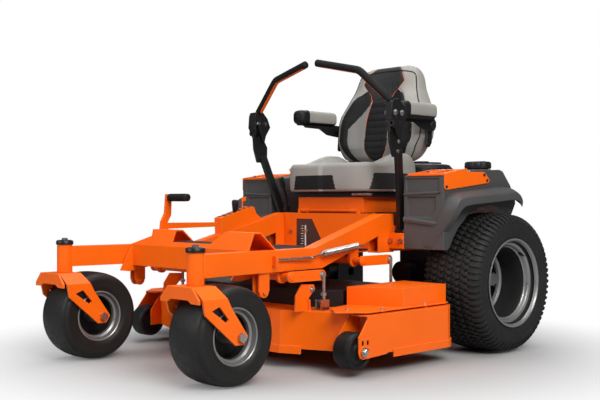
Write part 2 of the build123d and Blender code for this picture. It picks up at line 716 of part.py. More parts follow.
def lift_shaft(y, z, x):
    bar = rod((-x, y, z), (x, y, z), LIFT_SHAFT_RADIUS)
    arm = lift_arm(x, y, z)
    return bar + arm + mirrored(arm)


def lift_shaft_front():
    """The front torsion shaft, its two arms, and the foot pedal welded to it."""
    pedal_outline = (
        (FRONT_SHAFT_Y - 12, FRONT_SHAFT_Z), (295, 440), (258, 488), (262, 520), (280, 552),
        (286, PEDAL_TOP_Z + 14),
        (312, PEDAL_TOP_Z + 14), (310, 545), (292, 514), (552, 512), (556, 494), (296, 490),
        (318, 440), (FRONT_SHAFT_Y + 13, FRONT_SHAFT_Z),
    )
    pedal = prism(pedal_outline, "x", PEDAL_X - 5, PEDAL_X + 5)
    pin = rod((PEDAL_X, 300, PEDAL_TOP_Z), (PEDAL_X + 12 + ROLLER_PAD_LENGTH, 300, PEDAL_TOP_Z), 6)
    return lift_shaft(FRONT_SHAFT_Y, FRONT_SHAFT_Z, FRONT_ARM_X) + pedal + pin


def pedal_roller():
    start = (PEDAL_X + 7, 300, PEDAL_TOP_Z)
    end = (PEDAL_X + 7 + ROLLER_PAD_LENGTH, 300, PEDAL_TOP_Z)
    return ring(start, end, ROLLER_PAD_RADIUS, 6 + RUN_GAP)


def link_place():
    """X, Y and foot height of the two links on the left."""
    front_x = FRONT_ARM_X + ARM_THICK / 2 + LINK_RADIUS + 1.5
    rear_x = REAR_ARM_X + ARM_THICK / 2 + LINK_RADIUS + 1.5
    return (
        (front_x, FRONT_SHAFT_Y + LIFT_ARM, FRONT_SHAFT_Z),
        (rear_x, REAR_SHAFT_Y + LIFT_ARM, REAR_SHAFT_Z),
    )


def deck_links():
    shapes = []
    for x, y, z in link_place():
        link = rod((x, y, DECK_TOP + 14), (x, y, z + 8), LINK_RADIUS)
        clevis = block((x - 14, x + 14), (y - 28, y + 14), (DECK_TOP, DECK_TOP + 38))
        clevis -= block((x - 9, x + 9), (y - 30, y + 30), (DECK_TOP + 6, DECK_TOP + 60))
        cross = rod((x - 14, y, DECK_TOP + 30), (x + 14, y, DECK_TOP + 30), 5)
        nut = hexagon((x, y, DECK_TOP + 52), (x, y, DECK_TOP + 62), 11)
        shapes += [link + clevis + cross + nut]
    return group(*shapes, *[mirrored(shape) for shape in shapes])


def assist_spring():
    coil = ring((SPRING_X, 500, 408), (SPRING_X, 692, 431), 13, 7)
    bend, tip = (SPRING_X + 8, 440, 398), (SPRING_X + 15, 252, 396)
    front_hook = pipe([(SPRING_X, 516, 410), (SPRING_X, 470, 404), bend], 4, 12)
    rod_end = rod(bend, tip, 5)
    rear_hook = rod((SPRING_X, 680, 429.6), (SPRING_X, 722, 434.7), 4)
    return (coil + front_hook + rod_end + rear_hook).solids()


def height_console(rails):
    outline = ((583, 440), (578, 529), (752, 577), (766, 572), (778, 545), (838, 503), (838, 440))
    inner = ((589, 430), (585, 524), (752, 570), (760, 566), (771, 541), (832, 498), (832, 430))
    body = prism(outline, "x", -338, -294) - prism(inner, "x", -334, -298)
    body -= rod((-316, 675, 500), (-316, 675, 600), 7 + RUN_GAP)
    for rail in rails:
        body -= rail
    return group(*[solid for solid in body.solids() if solid.volume > 1000])


def height_pin():
    shaft = rod((-316, 675, 505), (-316, 675, 570), 7)
    return shaft + rod((-316, 675, 569), (-316, 675, 604), 12)


# ---- seat ----
def seat_platform():
    tray = block((-TRAY_HALF, TRAY_HALF), (TRAY_FRONT_Y, 1280), (TRAY_BOTTOM, TRAY_TOP))
    hollow = block(
        (-TRAY_HALF + SHEET, TRAY_HALF - SHEET), (TRAY_FRONT_Y + SHEET, 1290),
        (TRAY_BOTTOM - 5, TRAY_TOP - SHEET),
    )
    knuckles = [
        rod((x, HINGE_Y, HINGE_Z), (x + 40, HINGE_Y, HINGE_Z), 9)
        for x in (-160, 120)
    ]
    bore = rod((-TRAY_HALF, HINGE_Y, HINGE_Z), (TRAY_HALF, HINGE_Y, HINGE_Z), 5 + RUN_GAP)
    return tray - hollow + knuckles[0] + knuckles[1] - bore


def hinge_ears():
    """The ears and pin on the seat panel that the seat platform hinges on."""
    ears = Part()
    for start in (-176, 164):
        ears += block((start, start + 12), (HINGE_Y - 8, HINGE_Y + 2), (RAIL_TOP_Z - 40, HINGE_Z + 6))
    return ears + rod((-176, HINGE_Y, HINGE_Z), (176, HINGE_Y, HINGE_Z), 5)


def seat_pan():
    return block((-215, 215), (925, 1270), (TRAY_TOP, CUSHION_BOTTOM))


def seat_cushion():
    shape = block((-SEAT_HALF, SEAT_HALF), (CUSHION_FRONT_Y, CUSHION_REAR_Y), (CUSHION_BOTTOM, CUSHION_TOP))
    return fillet(shape.edges(), 34)


def seat_back():
    outline = (
        (1205, 775), (1243, 1000), (1252, BACK_TOP - 30), (1290, BACK_TOP), (1345, 1150), (1372, 1003),
        (1335, 790),
    )
    front = (
        (-190, 770), (190, 770), (BACK_HALF, 860), (BACK_HALF, 1010), (165, BACK_TOP), (-165, BACK_TOP),
        (-BACK_HALF, 1010), (-BACK_HALF, 860),
    )
    shape = prism(outline, "x", -BACK_HALF, BACK_HALF) & prism(front, "y", 1100, 1500)
    shape += block((-120, 120), (1271, 1300), (CUSHION_BOTTOM, 800))
    for side in (-1, 1):
        shape += rod((side * 200, ARMREST_PIVOT_Y + 40, 925), (side * 266, ARMREST_PIVOT_Y + 40, 925), 16)
    return shape


def armrest():
    low = ARMREST_X - ARMREST_WIDTH / 2
    high = ARMREST_X + ARMREST_WIDTH / 2
    pad = block((low, high), (ARMREST_TIP_Y, ARMREST_PIVOT_Y), (ARMREST_BOTTOM, ARMREST_TOP))
    pad = fillet(pad.edges(), 14)
    y = ARMREST_PIVOT_Y + 40
    arm = prism(
        ((1150, 930), (1150, 960), (y - 10, 960), (y + 22, 935), (y + 12, 900), (y - 16, 905)),
        "x", 268, 282,
    )
    return pad + arm


# ---- lap bar controls ----
def post_shape():
    base, top = Vector(*POST_BASE), Vector(*POST_TOP)
    run = top - base
    tube = Plane(origin=base, x_dir=(1, 0, 0), z_dir=run) * Box(
        16, 34, run.length, align=(Align.CENTER, Align.CENTER, Align.MIN)
    )
    foot = rod((314, *POST_BASE[1:]), (340, *POST_BASE[1:]), 22)
    pin = rod((295, *POST_BASE[1:]), (330, *POST_BASE[1:]), POST_BOLT_RADIUS)
    plate_outline = ((870, 772), (928, 772), (930, 840), (902, 884), (846, 884), (850, 830))
    plate = prism(plate_outline, "x", 388, 396)
    x, y, z = SWING_PIVOT
    knuckle = ring((x, y - 24, z), (x, y - 10, z), 14, 6 + RUN_GAP)
    knuckle += ring((x, y + 10, z), (x, y + 24, z), 14, 6 + RUN_GAP)
    web = block((388, 398), (y - 24, y - 10), (870, z)) + block((388, 398), (y + 10, y + 24), (870, z))
    bore = rod((x, y - 40, z), (x, y + 40, z), 6 + RUN_GAP)
    return tube + foot + pin + plate + knuckle + web - bore


def lap_bar():
    x, y, z = SWING_PIVOT
    tube = pipe([Vector(*point) for point in BAR_POINTS], BAR_RADIUS, 60, 3)
    socket = rod((x, y - 9, z), (x, y + 9, z), 14)
    pin = rod((x, y - 26, z), (x, y + 26, z), 6)
    neck = rod((x, y, z), BAR_POINTS[0], 8)
    cap = rod(BAR_POINTS[0], Vector(*BAR_POINTS[0]) + Vector(-1, 0, 4), 13)
    return tube + socket + pin + neck + cap


# ---- fender pods ----
def pod_outline():
    arch_top = 2 * DRIVE_RADIUS + ARCH_CLEAR
    return (
        (POD_FRONT_Y, POD_LOW_Z), (POD_FRONT_Y, POD_TOP_Z - 14), (965, POD_TOP_Z), (1100, POD_TOP_Z),
        (1110, 720), (1330, 726), (1400, 655), (POD_REAR_Y, arch_top), (1130, arch_top - 4), (1040, 560),
        (985, 490), (965, POD_LOW_Z),
    )


def fender():
    arch_top = 2 * DRIVE_RADIUS + ARCH_CLEAR
    pod = prism(pod_outline(), "x", POD_IN, POD_OUT)
    flare_outline = (
        (POD_FRONT_Y, 585), (POD_FRONT_Y + 6, 632), (1100, 648), (1330, 662), (1395, 648),
        (POD_REAR_Y + 8, 560),
        (POD_REAR_Y - 14, 560), (1380, arch_top + 10), (1130, arch_top), (1040, 570),
    )
    flare = prism(flare_outline, "x", POD_OUT, FLARE_OUT)
    neck = rod((FUEL_CAP_X, FUEL_CAP_Y, 690), (FUEL_CAP_X, FUEL_CAP_Y, FUEL_NECK_TOP), FUEL_NECK_RADIUS)
    cup = rod((CUP_X, CUP_Y, POD_TOP_Z - CUP_DEPTH), (CUP_X, CUP_Y, POD_TOP_Z + 5), CUP_RADIUS)
    stay = block((REAR_RAIL_HALF, POD_IN), (STAY_Y - 12, STAY_Y + 12), (640, 655))
    return pod + flare + neck + stay - cup


def fender_trim():
    """The side plate and the frame of the cup tray."""
    side = prism(((965, 650), (965, 694), (1100, 712), (1250, 716), (1250, 668)), "x", POD_OUT, POD_OUT + 3)
    tray = block((419, 577), (955, 1086), (POD_TOP_Z, POD_TOP_Z + 12))
    tray -= block((431, 565), (967, 1074), (POD_TOP_Z - 5, POD_TOP_Z + 20))
    return group(side, tray)


def fuel_cap():
    low, high = 728, FUEL_NECK_TOP + 18
    outer = rod((FUEL_CAP_X, FUEL_CAP_Y, low), (FUEL_CAP_X, FUEL_CAP_Y, high), 52)
    bottom, top = (FUEL_CAP_X, FUEL_CAP_Y, low - 1), (FUEL_CAP_X, FUEL_CAP_Y, FUEL_NECK_TOP + 1)
    outer -= rod(bottom, top, FUEL_NECK_RADIUS + 0.6)
    for index in range(12):
        angle = 2 * math.pi * index / 12
        x, y = FUEL_CAP_X + 54 * math.cos(angle), FUEL_CAP_Y + 54 * math.sin(angle)
        outer -= rod((x, y, low - 1), (x, y, high + 1), 6)
    return outer


def park_brake_lever():
    x, y, z = BRAKE_PIVOT
    lever = pipe([(x, y, z), (x, y - 8, z + 60), (x, y - 24, z + 100)], 7, 20)
    grip = rod((x, y - 23, z + 97), (x, y - 38, z + 140), 12)
    return lever + grip + rod((x - 8, y, z), (x + 8, y, z), 14)


def pto_switch():
    x, y = -450, 1150
    return rod((x, y, 722), (x, y, 740), 9) + rod((x, y, 740), (x, y, 752), 16)


def chassis_bolts():
    """Hex bolts that hold the brackets, the seat panel and the floor."""
    shapes = []
    for x in (SIDE_BOLT_X, SIDE_BOLT_X + 50):
        shapes.append(hexagon((x, 948, 442), (x, 938, 442), 11))
    for x in (120, 220):
        shapes.append(hexagon((x, RAIL_TOP_Y, 470), (x, RAIL_TOP_Y - 6, 470), 9))
    shapes.append(hexagon((235, 896, 402), (235, 896, 409), 9))
    return group(*shapes, *[mirrored(shape) for shape in shapes])


# ---- assembly ----
def both_sides(nodes, name, shape):
    """One node a side, the right one mirrored."""
    nodes[name + "_left"] = shape
    nodes[name + "_right"] = mirrored(shape)


def build():
    """Every node at its place."""
    nodes = {}
    rail = frame_rail()
    both_sides(nodes, "frame_rail", rail)
    rails = (nodes["frame_rail_left"], nodes["frame_rail_right"])
    nodes["nose_crossmember"] = nose_crossmember(rails)
    nodes["floor_pan"] = floor_pan()
    nodes["foot_mat"] = foot_mat()
    nodes["seat_panel"] = seat_panel() + hinge_ears()
    nodes["rear_frame"] = rear_frame(rails)
    nodes["rear_guard"] = rear_guard()
    nodes["engine_block"] = engine_block()
    nodes["engine_shroud"] = engine_shroud()
    nodes["muffler"] = muffler()
    nodes["transaxles"] = both(transaxle())
    nodes["height_console"] = height_console(rails)
    nodes["height_pin"] = height_pin()
    nodes["assist_springs"] = both(group(*assist_spring()))
    nodes["chassis_bolts"] = chassis_bolts()

    caster_place = Pos(CASTER_HALF_TRACK, 0, 0)
    wheel_place = Pos(CASTER_HALF_TRACK, 0, CASTER_RADIUS)
    rubber, wheel_rim = caster_wheel()
    both_sides(nodes, "caster_fork", caster_place * caster_fork())
    both_sides(nodes, "caster_hardware", caster_place * caster_hardware())
    both_sides(nodes, "caster_tyre", wheel_place * rubber)
    both_sides(nodes, "caster_rim", wheel_place * wheel_rim)

    drive_place = Pos(DRIVE_HALF_TRACK, WHEELBASE, DRIVE_RADIUS)
    rubber, wheel_rim = drive_wheel()
    both_sides(nodes, "drive_tyre", drive_place * rubber)
    both_sides(nodes, "drive_rim", drive_place * wheel_rim)

    nodes["deck_shell"] = deck_shell()
    nodes["belt_covers"] = both(belt_cover())
    nodes["centre_cover"] = centre_cover()
    nodes["deck_links"] = deck_links()
    nodes["spindle_housings"] = spindle_housings()
    nodes["deck_belt"] = deck_belt()
    for side, (x, y) in blade_places().items():
        nodes["blade_" + side] = blade_set(x, y)
    both_sides(nodes, "anti_scalp_wheel", anti_scalp_wheel())
    nodes["discharge_chute"] = discharge_chute()

    nodes["lift_shaft_front"] = lift_shaft_front()
    nodes["lift_shaft_rear"] = lift_shaft(REAR_SHAFT_Y, REAR_SHAFT_Z, REAR_ARM_X)
    nodes["pedal_roller"] = pedal_roller()

    nodes["seat_platform"] = seat_platform()
    nodes["seat_pan"] = seat_pan()
    nodes["seat_cushion"] = seat_cushion()
    nodes["seat_back"] = seat_back()
    both_sides(nodes, "armrest", armrest())
    both_sides(nodes, "control_post", post_shape())
    both_sides(nodes, "lap_bar", lap_bar())
    both_sides(nodes, "fender", fender())
    nodes["fender_trims"] = both(fender_trim())
    both_sides(nodes, "fuel_cap", fuel_cap())
    nodes["pto_switch"] = pto_switch()
    nodes["park_brake_lever"] = park_brake_lever()
    return nodes


def origin_of(nodes):
    """The bottom centre of the whole machine's box."""
    boxes = [shape.bounding_box() for shape in nodes.values()]
    low = [min(getattr(box.min, axis) for box in boxes) for axis in "XYZ"]
    high = [max(getattr(box.max, axis) for box in boxes) for axis in "XY"]
    return Vector((low[0] + high[0]) / 2, (low[1] + high[1]) / 2, low[2])


os.makedirs("parts", exist_ok=True)
machine = build()
origin = origin_of(machine)
for name, shape in machine.items():
    export_step(Pos(-origin) * shape, f"parts/{name}.step")
print(len(machine), "nodes, origin at", [round(value, 3) for value in origin])
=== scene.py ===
# Zero turn mower: looks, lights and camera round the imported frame. Lengths are millimetres in the
# machine's own axes unless a name says otherwise: X to the operator's left, Y to the rear, Z up,
# X = 0 on the centre line and Y = 0 at the front caster wheels' axle.
import math
import json

import bmesh
import bpy
from mathutils import Matrix, Vector


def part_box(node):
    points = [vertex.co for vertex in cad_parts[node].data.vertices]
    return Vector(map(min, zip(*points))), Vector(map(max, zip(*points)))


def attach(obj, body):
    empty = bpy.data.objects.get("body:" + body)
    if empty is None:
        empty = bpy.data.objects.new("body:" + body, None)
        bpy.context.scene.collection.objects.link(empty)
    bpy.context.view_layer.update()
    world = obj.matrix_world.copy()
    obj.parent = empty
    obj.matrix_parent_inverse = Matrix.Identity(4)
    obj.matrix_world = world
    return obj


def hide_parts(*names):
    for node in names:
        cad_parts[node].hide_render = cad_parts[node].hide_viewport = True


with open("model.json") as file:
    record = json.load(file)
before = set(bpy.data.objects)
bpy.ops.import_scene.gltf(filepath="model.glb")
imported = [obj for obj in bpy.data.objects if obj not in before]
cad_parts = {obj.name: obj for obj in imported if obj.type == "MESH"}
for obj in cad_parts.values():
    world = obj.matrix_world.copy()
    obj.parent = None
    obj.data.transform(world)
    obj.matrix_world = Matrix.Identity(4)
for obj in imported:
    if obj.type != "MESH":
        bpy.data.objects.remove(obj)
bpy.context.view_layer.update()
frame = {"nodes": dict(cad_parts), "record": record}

MM = 0.001
SIDES = (("left", False), ("right", True))


def box_middle(node):
    low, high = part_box(node)
    return [(a + b) / 2 for a, b in zip(low, high)]


CASTER_LEFT = box_middle("caster_tyre_left")
CASTER_RIGHT = box_middle("caster_tyre_right")
ORIGIN = Vector(((CASTER_LEFT[0] + CASTER_RIGHT[0]) / 2, CASTER_LEFT[1], 0))
MACHINE = Matrix.Translation(ORIGIN) @ Matrix.Scale(MM, 4)


def box_mm(node):
    """Lowest and highest corner of a CAD node in machine millimetres."""
    low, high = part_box(node)
    return tuple((Vector(corner) - ORIGIN) / MM for corner in (low, high))


# ---- camera and light ----
CAMERA_AT = (2807.4, -2035.1, 603.6)
CAMERA_AIM = (-0.7165, 0.6975, 0.0053)
HORIZON_GREY = (0.35, 0.35, 0.36, 1)


def add_camera():
    data = bpy.data.cameras.new("camera")
    data.lens = 57.9
    data.sensor_width = 36
    data.shift_x = 0.0159
    data.shift_y = -0.0082
    data.clip_end = 200
    camera = bpy.data.objects.new("camera", data)
    camera.location = MACHINE @ Vector(CAMERA_AT)
    camera.rotation_euler = Vector(CAMERA_AIM).to_track_quat("-Z", "Y").to_euler()
    bpy.context.scene.collection.objects.link(camera)
    bpy.context.scene.camera = camera


def add_area(name, place, aim, size, power, color=(1, 1, 1)):
    data = bpy.data.lights.new(name, "AREA")
    data.shape = "RECTANGLE"
    data.size, data.size_y = size
    data.energy = power
    data.color = color
    light = bpy.data.objects.new(name, data)
    light.location = MACHINE @ Vector(place)
    target = MACHINE @ Vector(aim)
    light.rotation_euler = (target - light.location).to_track_quat("-Z", "Y").to_euler()
    bpy.context.scene.collection.objects.link(light)


def add_world():
    """White to the eye, and a soft studio gradient, brighter overhead, to the object."""
    world = bpy.data.worlds.new("studio")
    world.use_nodes = True
    tree = world.node_tree
    tree.nodes.clear()
    out = node(tree, "OutputWorld")
    mix = node(tree, "MixShader")
    seen = node(tree, "Background")
    seen.inputs["Color"].default_value = (1, 1, 1, 1)
    seen.inputs["Strength"].default_value = 1.0
    lit = node(tree, "Background")
    lit.inputs["Strength"].default_value = 0.17
    split = node(tree, "SeparateXYZ")
    link(tree, node(tree, "TexCoord").outputs["Generated"], split.inputs[0])
    ramp = node(tree, "ValToRGB")
    for stop, position, colour in zip(ramp.color_ramp.elements, (0.42, 0.9), (HORIZON_GREY, (1, 1, 1, 1))):
        stop.position = position
        stop.color = colour
    link(tree, ranged(tree, split.outputs["Z"], 0, 1, -1, 1), ramp.inputs["Fac"])
    link(tree, ramp.outputs["Color"], lit.inputs["Color"])
    link(tree, node(tree, "LightPath").outputs["Is Camera Ray"], mix.inputs["Fac"])
    link(tree, lit.outputs[0], mix.inputs[1])
    link(tree, seen.outputs[0], mix.inputs[2])
    link(tree, mix.outputs[0], out.inputs["Surface"])
    bpy.context.scene.world = world


def add_studio():
    add_world()
    add_area("key", (4200, -900, 3400), (0, 800, 450), (3.2, 2.4), 265, (1.0, 0.985, 0.96))
    add_area("front", (-1500, -4200, 2600), (0, 700, 450), (3.0, 2.4), 105)
    add_area("top", (0, 800, 4300), (0, 800, 0), (4.0, 4.0), 125)
    add_area("rear", (-2600, 4300, 3000), (0, 1000, 600), (2.6, 2.6), 60)
    bpy.context.scene.view_settings.view_transform = "Standard"


# ---- materials ----
MATERIALS = {}


def link(tree, source, target):
    tree.links.new(source, target)


def node(tree, kind, **settings):
    made = tree.nodes.new("ShaderNode" + kind)
    for key, value in settings.items():
        setattr(made, key, value)
    return made


def noise(tree, coords, scale, detail=3.0):
    made = node(tree, "TexNoise")
    made.inputs["Scale"].default_value = scale
    made.inputs["Detail"].default_value = detail
    link(tree, coords, made.inputs["Vector"])
    return made.outputs["Fac"]


def ranged(tree, value, low, high, start=0.0, end=1.0):
    made = node(tree, "MapRange")
    made.inputs["From Min"].default_value = start
    made.inputs["From Max"].default_value = end
    made.inputs["To Min"].default_value = low
    made.inputs["To Max"].default_value = high
    link(tree, value, made.inputs["Value"])
    return made.outputs["Result"]


def blended(tree, factor, first, second):
    made = node(tree, "Mix", data_type="RGBA")
    link(tree, factor, made.inputs["Factor"])
    for socket, colour in ((made.inputs["A"], first), (made.inputs["B"], second)):
        if isinstance(colour, tuple):
            socket.default_value = (*colour, 1)
        else:
            link(tree, colour, socket)
    return made.outputs["Result"]


def edge_mask(tree, radius):
    """1 along a sharp edge, 0 on a flat."""
    round_normal = node(tree, "Bevel", samples=4)
    round_normal.inputs["Radius"].default_value = radius
    geometry = node(tree, "NewGeometry")
    dot = node(tree, "VectorMath", operation="DOT_PRODUCT")
    link(tree, round_normal.outputs[0], dot.inputs[0])
    link(tree, geometry.outputs["Normal"], dot.inputs[1])
    return ranged(tree, dot.outputs["Value"], 1.0, 0.0, 0.80, 0.97)


def material(
    name, colour, rough, metallic=0.0, coat=0.0, specular=0.5, grain=(900, 0.05), mottle=(14, 0.12),
    rough_span=0.12, edge_wear_and_highlight=None, edge_wear_and_highlight_amount=0.6, bevel=0.0, weave=0.0, sheen=0.0, dust=None,
):
    """A finish: colour that drifts, roughness that drifts, a fine grain, and lighter edges: edge wear, and on
    the orange paint a painted highlight.
    """
    made = bpy.data.materials.new(name)
    made.use_nodes = True
    tree = made.node_tree
    base = tree.nodes["Principled BSDF"]
    base.inputs["Metallic"].default_value = metallic
    base.inputs["Coat Weight"].default_value = coat
    base.inputs["Coat Roughness"].default_value = 0.12
    base.inputs["Specular IOR Level"].default_value = specular
    base.inputs["Sheen Weight"].default_value = sheen
    coords = node(tree, "TexCoord").outputs["Object"]
    drift = noise(tree, coords, mottle[0])
    dark = tuple(c * (1 - mottle[1]) for c in colour)
    light = tuple(min(1.0, c * (1 + mottle[1])) for c in colour)
    tint = blended(tree, ranged(tree, drift, 0, 1, 0.3, 0.7), dark, light)
    if dust:
        upward = node(tree, "SeparateXYZ")
        link(tree, node(tree, "NewGeometry").outputs["Normal"], upward.inputs[0])
        patches = noise(tree, coords, 40, 6)
        amount = node(tree, "Math", operation="MULTIPLY")
        link(tree, ranged(tree, upward.outputs["Z"], 0, dust[1], 0.2, 1.0), amount.inputs[0])
        link(tree, patches, amount.inputs[1])
        tint = blended(tree, amount.outputs[0], tint, dust[0])
    # Lighter colour along sharp edges: edge wear, and on the orange paint a painted highlight for its bright
    # facets.
    if edge_wear_and_highlight:
        mask = edge_mask(tree, 0.0022)
        edge_wear_and_highlight_mask = node(tree, "Math", operation="MULTIPLY")
        link(tree, mask, edge_wear_and_highlight_mask.inputs[0])
        link(tree, ranged(tree, noise(tree, coords, 70, 4), 0.25, edge_wear_and_highlight_amount, 0.35, 0.65), edge_wear_and_highlight_mask.inputs[1])
        tint = blended(tree, edge_wear_and_highlight_mask.outputs[0], tint, edge_wear_and_highlight)
    link(tree, tint, base.inputs["Base Color"])
    scuff = noise(tree, coords, mottle[0] * 5, 5)
    link(tree, ranged(tree, scuff, rough - rough_span, rough + rough_span, 0.25, 0.75),
         base.inputs["Roughness"])
    height = noise(tree, coords, grain[0], 2)
    if weave:
        cells = node(tree, "TexVoronoi", feature="DISTANCE_TO_EDGE")
        cells.inputs["Scale"].default_value = weave
        link(tree, coords, cells.inputs["Vector"])
        both = node(tree, "Math", operation="ADD")
        link(tree, ranged(tree, cells.outputs["Distance"], 0, 1, 0, 0.25), both.inputs[0])
        link(tree, ranged(tree, height, 0, 0.35), both.inputs[1])
        height = both.outputs[0]
    bump = node(tree, "Bump")
    bump.inputs["Strength"].default_value = grain[1]
    bump.inputs["Distance"].default_value = 0.001
    link(tree, height, bump.inputs["Height"])
    if bevel:
        rounding = node(tree, "Bevel", samples=4)
        rounding.inputs["Radius"].default_value = bevel
        link(tree, rounding.outputs[0], bump.inputs["Normal"])
    link(tree, bump.outputs[0], base.inputs["Normal"])
    MATERIALS[name] = made
    return made


ORANGE = (0.92, 0.135, 0.0025)


def make_materials():
    # The lighter orange along its edges is a painted highlight standing in for the bright facets.
    material("orange_paint", ORANGE, 0.40, specular=0.22, coat=0.12, grain=(700, 0.05), mottle=(5, 0.035),
             rough_span=0.06,
             edge_wear_and_highlight=(1.0, 0.36, 0.12), edge_wear_and_highlight_amount=0.95, bevel=0.0016)
    material("black_metal", (0.008, 0.008, 0.0088), 0.42, specular=0.3, coat=0.08, grain=(600, 0.08),
             mottle=(9, 0.2),
             edge_wear_and_highlight=(0.10, 0.10, 0.11), bevel=0.0012)
    material("wheel_grey", (0.25, 0.25, 0.25), 0.36, metallic=0.55, coat=0.25, grain=(500, 0.04),
             mottle=(8, 0.06),
             edge_wear_and_highlight=(0.55, 0.55, 0.56), bevel=0.001)
    # wheel_dark is a painted shade for the shaded insides of the wheels.
    material("wheel_dark", (0.014, 0.014, 0.0145), 0.6, specular=0.2, grain=(500, 0.08), mottle=(8, 0.15))
    material("grey_plastic", (0.062, 0.062, 0.063), 0.5, specular=0.35, grain=(1500, 0.22), mottle=(6, 0.06),
             edge_wear_and_highlight=(0.15, 0.15, 0.155), edge_wear_and_highlight_amount=0.4, bevel=0.0015)
    material("grey_plastic_dark", (0.045, 0.045, 0.048), 0.6, grain=(1500, 0.25), mottle=(6, 0.08))
    material("black_plastic", (0.008, 0.008, 0.0085), 0.5, specular=0.3, grain=(1300, 0.2), mottle=(8, 0.15),
             edge_wear_and_highlight=(0.07, 0.07, 0.075), edge_wear_and_highlight_amount=0.6, bevel=0.0012)
    material("yellow_plastic", (0.85, 0.5, 0.01), 0.3, coat=0.3, grain=(900, 0.05), mottle=(8, 0.06))
    material("tyre_rubber", (0.013, 0.013, 0.0132), 0.66, specular=0.28, grain=(450, 0.25), mottle=(11, 0.18),
             edge_wear_and_highlight=(0.03, 0.03, 0.03), edge_wear_and_highlight_amount=0.4, dust=((0.03, 0.029, 0.028), 0.25))
    material("caster_rubber", (0.011, 0.0108, 0.0106), 0.5, specular=0.3, grain=(520, 0.2), mottle=(10, 0.15),
             edge_wear_and_highlight=(0.03, 0.03, 0.029), edge_wear_and_highlight_amount=0.3, dust=((0.03, 0.029, 0.028), 0.2))
    material("seat_grey", (0.17, 0.165, 0.157), 0.5, grain=(520, 0.22), mottle=(10, 0.06), weave=520,
             sheen=0.08)
    material("roller_rubber", (0.008, 0.008, 0.0085), 0.5, specular=0.25, grain=(600, 0.15), mottle=(12, 0.2))
    material("belt_rubber", (0.03, 0.027, 0.024), 0.75, grain=(1500, 0.4), mottle=(20, 0.2))
    material("mat_rubber", (0.03, 0.03, 0.031), 0.6, grain=(700, 0.2), mottle=(10, 0.15),
             dust=((0.08, 0.08, 0.08), 0.3))
    material("seat_vinyl", (0.285, 0.272, 0.252), 0.48, specular=0.45, grain=(520, 0.22), mottle=(10, 0.05),
             weave=520, sheen=0.08)
    material("seat_black", (0.009, 0.009, 0.0095), 0.55, specular=0.2, grain=(520, 0.25), mottle=(10, 0.12),
             weave=560)
    material("seat_charcoal", (0.02, 0.02, 0.021), 0.55, specular=0.25, grain=(520, 0.25), mottle=(10, 0.1),
             weave=600)
    material("piping_orange", (0.85, 0.14, 0.008), 0.5, grain=(900, 0.15), mottle=(20, 0.08))
    material("arm_vinyl", (0.009, 0.009, 0.0095), 0.45, specular=0.25, grain=(520, 0.25), mottle=(10, 0.12),
             weave=520)
    material("foam_black", (0.006, 0.006, 0.0063), 0.6, specular=0.2, grain=(800, 0.4), mottle=(20, 0.2))
    material("bare_steel", (0.46, 0.455, 0.44), 0.3, metallic=1.0, grain=(700, 0.06), mottle=(25, 0.12),
             rough_span=0.1)
    material("dark_steel", (0.10, 0.10, 0.105), 0.42, metallic=0.85, grain=(500, 0.15), mottle=(14, 0.25),
             edge_wear_and_highlight=(0.4, 0.4, 0.4), edge_wear_and_highlight_amount=0.5)
    material("cast_alloy", (0.42, 0.42, 0.43), 0.45, metallic=0.8, grain=(350, 0.35), mottle=(20, 0.12))
    material("decal_dark", (0.02, 0.02, 0.021), 0.4, coat=0.4, grain=(900, 0.03), mottle=(8, 0.08))
    material("decal_light", (0.75, 0.75, 0.74), 0.4, coat=0.4, grain=(900, 0.03), mottle=(8, 0.04))


def dress_cad():
    """Every CAD node gets the finish of its slot."""
    for part in frame["record"]["subparts"]:
        target = frame["nodes"][part["node"]]
        finish = MATERIALS[part["material_slot"]]
        if not target.data.materials:
            target.data.materials.append(finish)
        for index in range(len(target.material_slots)):
            target.material_slots[index].material = finish


# ---- mesh helpers, all in machine millimetres ----
def finish_piece(name, bm, body, slot, replaces=(), mirror=False, finishes=None, sharp=35, bevel=0.0,
                 levels=0):
    """Turns a bmesh into a piece that rides on a body, in its slot's finish unless others are named."""
    bmesh.ops.recalc_face_normals(bm, faces=bm.faces)
    if mirror:
        bmesh.ops.scale(bm, vec=(-1, 1, 1), verts=bm.verts)
        bmesh.ops.reverse_faces(bm, faces=bm.faces)
    mesh = bpy.data.meshes.new(name)
    bm.to_mesh(mesh)
    bm.free()
    mesh.transform(MACHINE)
    for key in finishes or [slot]:
        mesh.materials.append(MATERIALS[key])
    for face in mesh.polygons:
        face.use_smooth = True
    if sharp:
        mesh.set_sharp_from_angle(angle=math.radians(sharp))
    piece = bpy.data.objects.new(name, mesh)
    bpy.context.scene.collection.objects.link(piece)
    if bevel:
        rounding = piece.modifiers.new("edges", "BEVEL")
        rounding.width = bevel * MM
        rounding.segments = 2
        rounding.limit_method = "ANGLE"
        rounding.angle_limit = math.radians(40)
        rounding.harden_normals = True
    if levels:
        smooth = piece.modifiers.new("smooth", "SUBSURF")
        smooth.levels = smooth.render_levels = levels
    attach(piece, body)
    if replaces:
        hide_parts(*replaces)
    return piece


def circle(count):
    """The (cosine, sine) pairs of even steps round a circle."""
    return [(math.cos(2 * math.pi * k / count), math.sin(2 * math.pi * k / count)) for k in range(count)]


def rectangle(left, right, low, high):
    return [(left, low), (right, low), (right, high), (left, high)]


def flipped(profile):
    """A lathe profile mirrored in the wheel's middle plane, read the same way round."""
    return [(-along, radius) for along, radius in reversed(profile)]


def quads(bm, first, second, closed=True, index=0):
    """Faces between two rows of vertices."""
    count = len(first)
    made = []
    for k in range(count if closed else count - 1):
        following = (k + 1) % count
        face = bm.faces.new((first[k], first[following], second[following], second[k]))
        face.material_index = index
        made.append(face)
    return made


